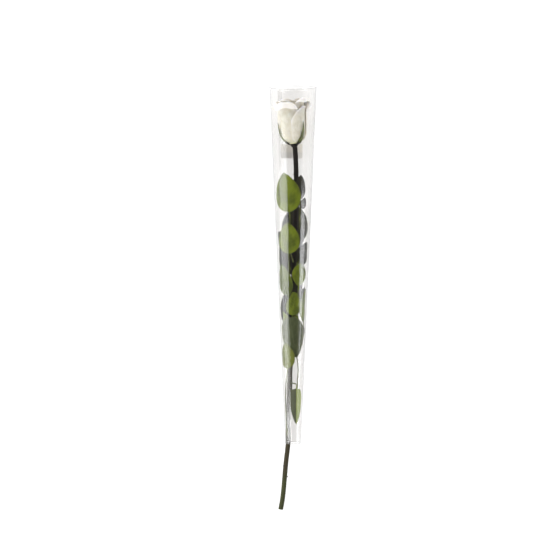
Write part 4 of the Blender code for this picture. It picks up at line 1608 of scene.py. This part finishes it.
@dataclass
class Foliage:
    """All the leaves, and the finishes that they share."""

    cone: Cone
    leaves: Sequence[Leaf] = (
        Leaf(
            "leaf_1", 0.270, 60, ((0.290, 60, 0.0062), (0.306, 61, 0.0054), (0.322, 62, 0.005)),
            (
                Leaflet(0.322, 0, 0.032, 0.016, Layer.INNER, tint=Tint.BLACK),
                Leaflet(0.3105, 50, 0.026, 0.016, Layer.MIDDLE, 0.001, tint=Tint.BLACK),
                Leaflet(0.310, -30, 0.016, 0.011, Layer.INNER, 0.0008, tint=Tint.BLACK),
            ),
        ),
        Leaf(
            "leaf_2", 0.242, 105,
            ((0.260, 105, 0.006), (0.275, 104, 0.0048), (0.290, 103, 0.004), (0.305, 102, 0.003)),
            (
                Leaflet(0.305, 9, 0.052, 0.038, Layer.OUTER),
                Leaflet(0.262, 55, 0.026, 0.019, Layer.MIDDLE, tint=Tint.BLACK),
                Leaflet(0.2632, -50, 0.026, 0.019, Layer.MIDDLE, tint=Tint.BLACK),
            ),
        ),
        Leaf(
            "leaf_3", 0.204, 281, ((0.222, 281, 0.0056), (0.240, 281, 0.004), (0.264, 281, 0.003)),
            (
                Leaflet(0.264, 0, 0.050, 0.040, Layer.OUTER),
                Leaflet(0.223, -34, 0.046, 0.030, Layer.MIDDLE),
                Leaflet(0.2375, 42, 0.034, 0.024, Layer.MIDDLE),
            ),
        ),
        Leaf(
            "leaf_4", 0.172, 112,
            ((0.186, 112, 0.0056), (0.200, 112, 0.0042), (0.225, 110, 0.004), (0.250, 108, 0.003)),
            (
                Leaflet(0.250, 0, 0.041, 0.031, Layer.OUTER),
                Leaflet(0.195, 15, 0.042, 0.0225, Layer.OUTER, 0.0002, tint=Tint.DEEP),
                Leaflet(0.1965, -48, 0.026, 0.016, Layer.INNER, 0.001, tint=Tint.BLACK),
            ),
        ),
        Leaf(
            "leaf_5", 0.148, 62,
            ((0.165, 62, 0.0058), (0.178, 63, 0.0046), (0.191, 64, 0.0034), (0.2065, 66, 0.0029)),
            (
                Leaflet(0.2065, -4, 0.031, 0.021, Layer.OUTER, widest=0.52),
                Leaflet(0.186, 28, 0.015, 0.012, Layer.MIDDLE, 0.0006),
                Leaflet(0.1872, -50, 0.026, 0.018, Layer.MIDDLE, 0.0012, tint=Tint.BLACK),
            ),
        ),
        Leaf(
            "leaf_6", 0.126, 96, ((0.142, 96, 0.006), (0.156, 96, 0.005), (0.168, 96, 0.0038)),
            (
                Leaflet(0.168, -9, 0.0285, 0.021, Layer.OUTER),
                Leaflet(0.157, 58, 0.026, 0.016, Layer.INNER),
                Leaflet(0.1578, -30, 0.012, 0.009, Layer.MIDDLE, 0.0003),
            ),
        ),
        Leaf(
            "leaf_7", 0.106, 236, ((0.121, 238, 0.0044), (0.136, 240, 0.0034), (0.155, 244, 0.0028)),
            (
                Leaflet(0.155, 0, 0.043, 0.027, Layer.OUTER),
                Leaflet(0.139, -50, 0.022, 0.016, Layer.MIDDLE),
                Leaflet(0.1402, 50, 0.026, 0.017, Layer.MIDDLE, 0.0004),
            ),
        ),
        Leaf(
            "leaf_8", 0.122, 0, ((0.129, -16, 0.0062), (0.136, 2.5, 0.0037), (0.158, 8, 0.0032)),
            (
                Leaflet(0.158, 3, 0.045, 0.025, Layer.OUTER, 0.0012),
                Leaflet(0.136, -50, 0.028, 0.018, Layer.OUTER, 0.0003),
                Leaflet(0.1372, 40, 0.016, 0.012, Layer.INNER, 0.0004),
            ),
        ),
        Leaf(
            "leaf_9", 0.070, 45,
            ((0.075, 52, 0.005), (0.086, 54, 0.004), (0.098, 51, 0.0036), (0.112, 60, 0.0036)),
            (Leaflet(0.112, 15, 0.055, 0.033, Layer.OUTER, 0.0, 0.60, 0.46, 0.80, Tint.DARK),),
        ),
        Leaf(
            "leaf_10", 0.010, 108,
            (
                (0.024, 149, 0.0016), (0.045, 152, 0.0016), (0.066, 150, 0.0017),
                (0.084, 140, 0.0022), (0.097, 129, 0.0024),
            ),
            (Leaflet(0.097, 0, 0.034, 0.024, Layer.OUTER, tint=Tint.YELLOW),),
        ),
        Leaf(
            "leaf_11", 0.0806, 78, ((0.081, 74, 0.0054), (0.0808, 70, 0.0036), (0.079, 66, 0.0024)),
            (Leaflet(0.079, 180, 0.048, 0.018, Layer.OUTER, widest=0.26, tint=Tint.HALF_GREY),),
        ),
    )

    def joints(self) -> list[float]:
        """The heights of the stem's joints."""
        return [leaf.joint for leaf in self.leaves]

    @staticmethod
    def rib_finish(tint: Tint) -> StalkFinish:
        """The finish of the ribs of blades of one tint, a little paler than the blades."""
        shades = tint.value
        return StalkFinish(f"rib_{tint.name.lower()}", shades.body, shades.blotch, shades.vein)

    def build(self, stem: Stem) -> None:
        """Makes every leaf.

        Args:
            stem: the stem that bears them.
        """
        skins = Skins(
            # The face turned to the stem is near black as painted shade.
            LeafFinish("leaf_shaded_inner_face", SHADED_INNER_FACE).material(),
            {tint: LeafFinish(f"leaf_{tint.name.lower()}", tint.value).material() for tint in Tint},
            {tint: self.rib_finish(tint).material() for tint in Tint},
            StalkFinish("stalk_skin", (0.13, 0.15, 0.045), (0.055, 0.06, 0.025)).material(),
        )
        for leaf in self.leaves:
            leaf.build(self.cone, stem, skins)


@dataclass(frozen=True)
class SideLight:
    """A soft light beside the rose: -1 for the left or 1 for the right, where it stands, and its radiance.

    The span is between two angles in degrees off straight overhead, and the reach is from and to along Y.
    """

    name: str
    side: int
    span: tuple[float, float]
    reach: tuple[float, float]
    radiance: float
    shape: str = "RECTANGLE"


@dataclass
class Studio:
    """The white floor, the soft lights at the sides and ends, the dark ceiling and the camera overhead."""

    floor_size: float = 30.0
    floor_drop: float = 0.0002
    floor_glow: float = 0.84
    light_distance: float = 1.3
    lights: Sequence[SideLight] = (
        SideLight("left_round", -1, (30.0, 97.0), (-0.37, 0.15), 4.2, "ELLIPSE"),
        SideLight("left_low", -1, (29.0, 88.0), (-0.455, -0.35), 1.8),
        SideLight("left_mouth", -1, (30.0, 88.0), (-0.80, -0.455), 8.5),
        SideLight("right_round", 1, (46.0, 86.0), (-0.23, 0.03), 5.4, "ELLIPSE"),
        SideLight("right_strip", 1, (60.0, 69.0), (-0.85, -0.15), 3.3),
    )
    bloom_end_radiance: float = 4.3
    stem_end_radiance: float = 2.2
    fill_size: tuple[float, float] = (1.6, 1.0)
    fill_distance: float = 1.7
    fill_slant: float = 50.0
    room: Colour = (0.85, 0.85, 0.86)
    ceiling: Colour = (0.025, 0.025, 0.025)
    ceiling_from: float = 0.5
    ceiling_full: float = 0.78
    camera_height: float = 2.2
    camera_aim: tuple[float, float] = (-0.0173, 0.0257)
    sensor: float = 36.0
    metres_across: float = 0.7467
    middle_height: float = 0.022

    def build(self) -> None:
        """Sets up everything but the rose."""
        self.floor()
        for light in self.lights:
            self.beside(light)
        self.fill("bloom_end_light", 1, self.bloom_end_radiance)
        self.fill("stem_end_light", -1, self.stem_end_radiance)
        self.world()
        self.camera()
        bpy.context.scene.view_settings.view_transform = "Standard"

    def floor(self) -> None:
        """Lays the white table top."""
        Bench.clear_selection()
        bpy.ops.mesh.primitive_plane_add(size=self.floor_size, location=(0, 0, -self.floor_drop))
        floor = bpy.context.object
        floor.name = "white_table"
        floor.data.materials.append(TableFinish("table_white", self.floor_glow).material())

    def panel(self, name: str, size: tuple[float, float], radiance: float, shape: str) -> Piece:
        """A flat soft light at the origin, which faces down.

        Args:
            name: its name.
            size: its length along X and Y.
            radiance: its radiance.
            shape: RECTANGLE or ELLIPSE.

        Returns:
            The light.
        """
        lamp = bpy.data.lights.new(name, "AREA")
        lamp.shape = shape
        lamp.size, lamp.size_y = size
        area = size[0] * size[1] * (math.pi / 4 if shape == "ELLIPSE" else 1.0)
        lamp.energy = radiance * math.pi * area
        thing = bpy.data.objects.new(name, lamp)
        bpy.context.scene.collection.objects.link(thing)
        return thing

    def beside(self, light: SideLight) -> None:
        """Sets up one of the lights beside the rose.

        Args:
            light: the light.
        """
        middle = math.radians(sum(light.span) / 2)
        half = math.radians(light.span[1] - light.span[0]) / 2
        low, high = light.reach
        size = (2 * self.light_distance * math.tan(half), high - low)
        thing = self.panel(light.name, size, light.radiance, light.shape)
        thing.location = (
            light.side * self.light_distance * math.sin(middle),
            (low + high) / 2,
            self.light_distance * math.cos(middle),
        )
        thing.rotation_euler = (0, light.side * middle, 0)

    def fill(self, name: str, end: int, radiance: float) -> None:
        """Sets up a weaker light beyond one end of the rose.

        Args:
            name: its name.
            end: 1 for the bloom's end, -1 for the stem's.
            radiance: its radiance.
        """
        slant = math.radians(self.fill_slant)
        thing = self.panel(name, self.fill_size, radiance, "RECTANGLE")
        away = self.fill_distance * math.sin(slant)
        thing.location = (0, end * away, self.fill_distance * math.cos(slant))
        thing.rotation_euler = (-end * slant, 0, 0)

    def world(self) -> None:
        """Makes a pale room with a dark ceiling, which looks white behind the object."""
        world = bpy.data.worlds.new("pale_room")
        bpy.context.scene.world = world
        graph = Graph(world)
        _, _, up = graph.coordinates("Generated")
        room = graph.mix(up.rise(self.ceiling_from, self.ceiling_full), self.room, self.ceiling)
        graph.show(graph.add("ShaderNodeBackground", {"Color": room, "Strength": 1.0}))

    def camera(self) -> None:
        """Sets up the camera, straight above, with the bloom towards the top of the picture."""
        lens = bpy.data.cameras.new("overhead")
        lens.sensor_width = self.sensor
        lens.lens = self.sensor * (self.camera_height - self.middle_height) / self.metres_across
        thing = bpy.data.objects.new("overhead", lens)
        bpy.context.scene.collection.objects.link(thing)
        thing.location = (*self.camera_aim, self.camera_height)
        bpy.context.scene.camera = thing


def write_sizes() -> None:
    """Updates the view layer."""
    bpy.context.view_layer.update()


def main() -> None:
    """Builds the rose, its sleeve and the studio."""
    logging.basicConfig(level=logging.INFO, format="%(message)s")
    cone = Cone()
    foliage = Foliage(cone)
    stem = Stem(cone, foliage.joints())
    Sleeve(cone).build()
    stem.build()
    Bloom(cone).build()
    foliage.build(stem)
    Studio().build()
    write_sizes()


if __name__ == "__main__":
    main()
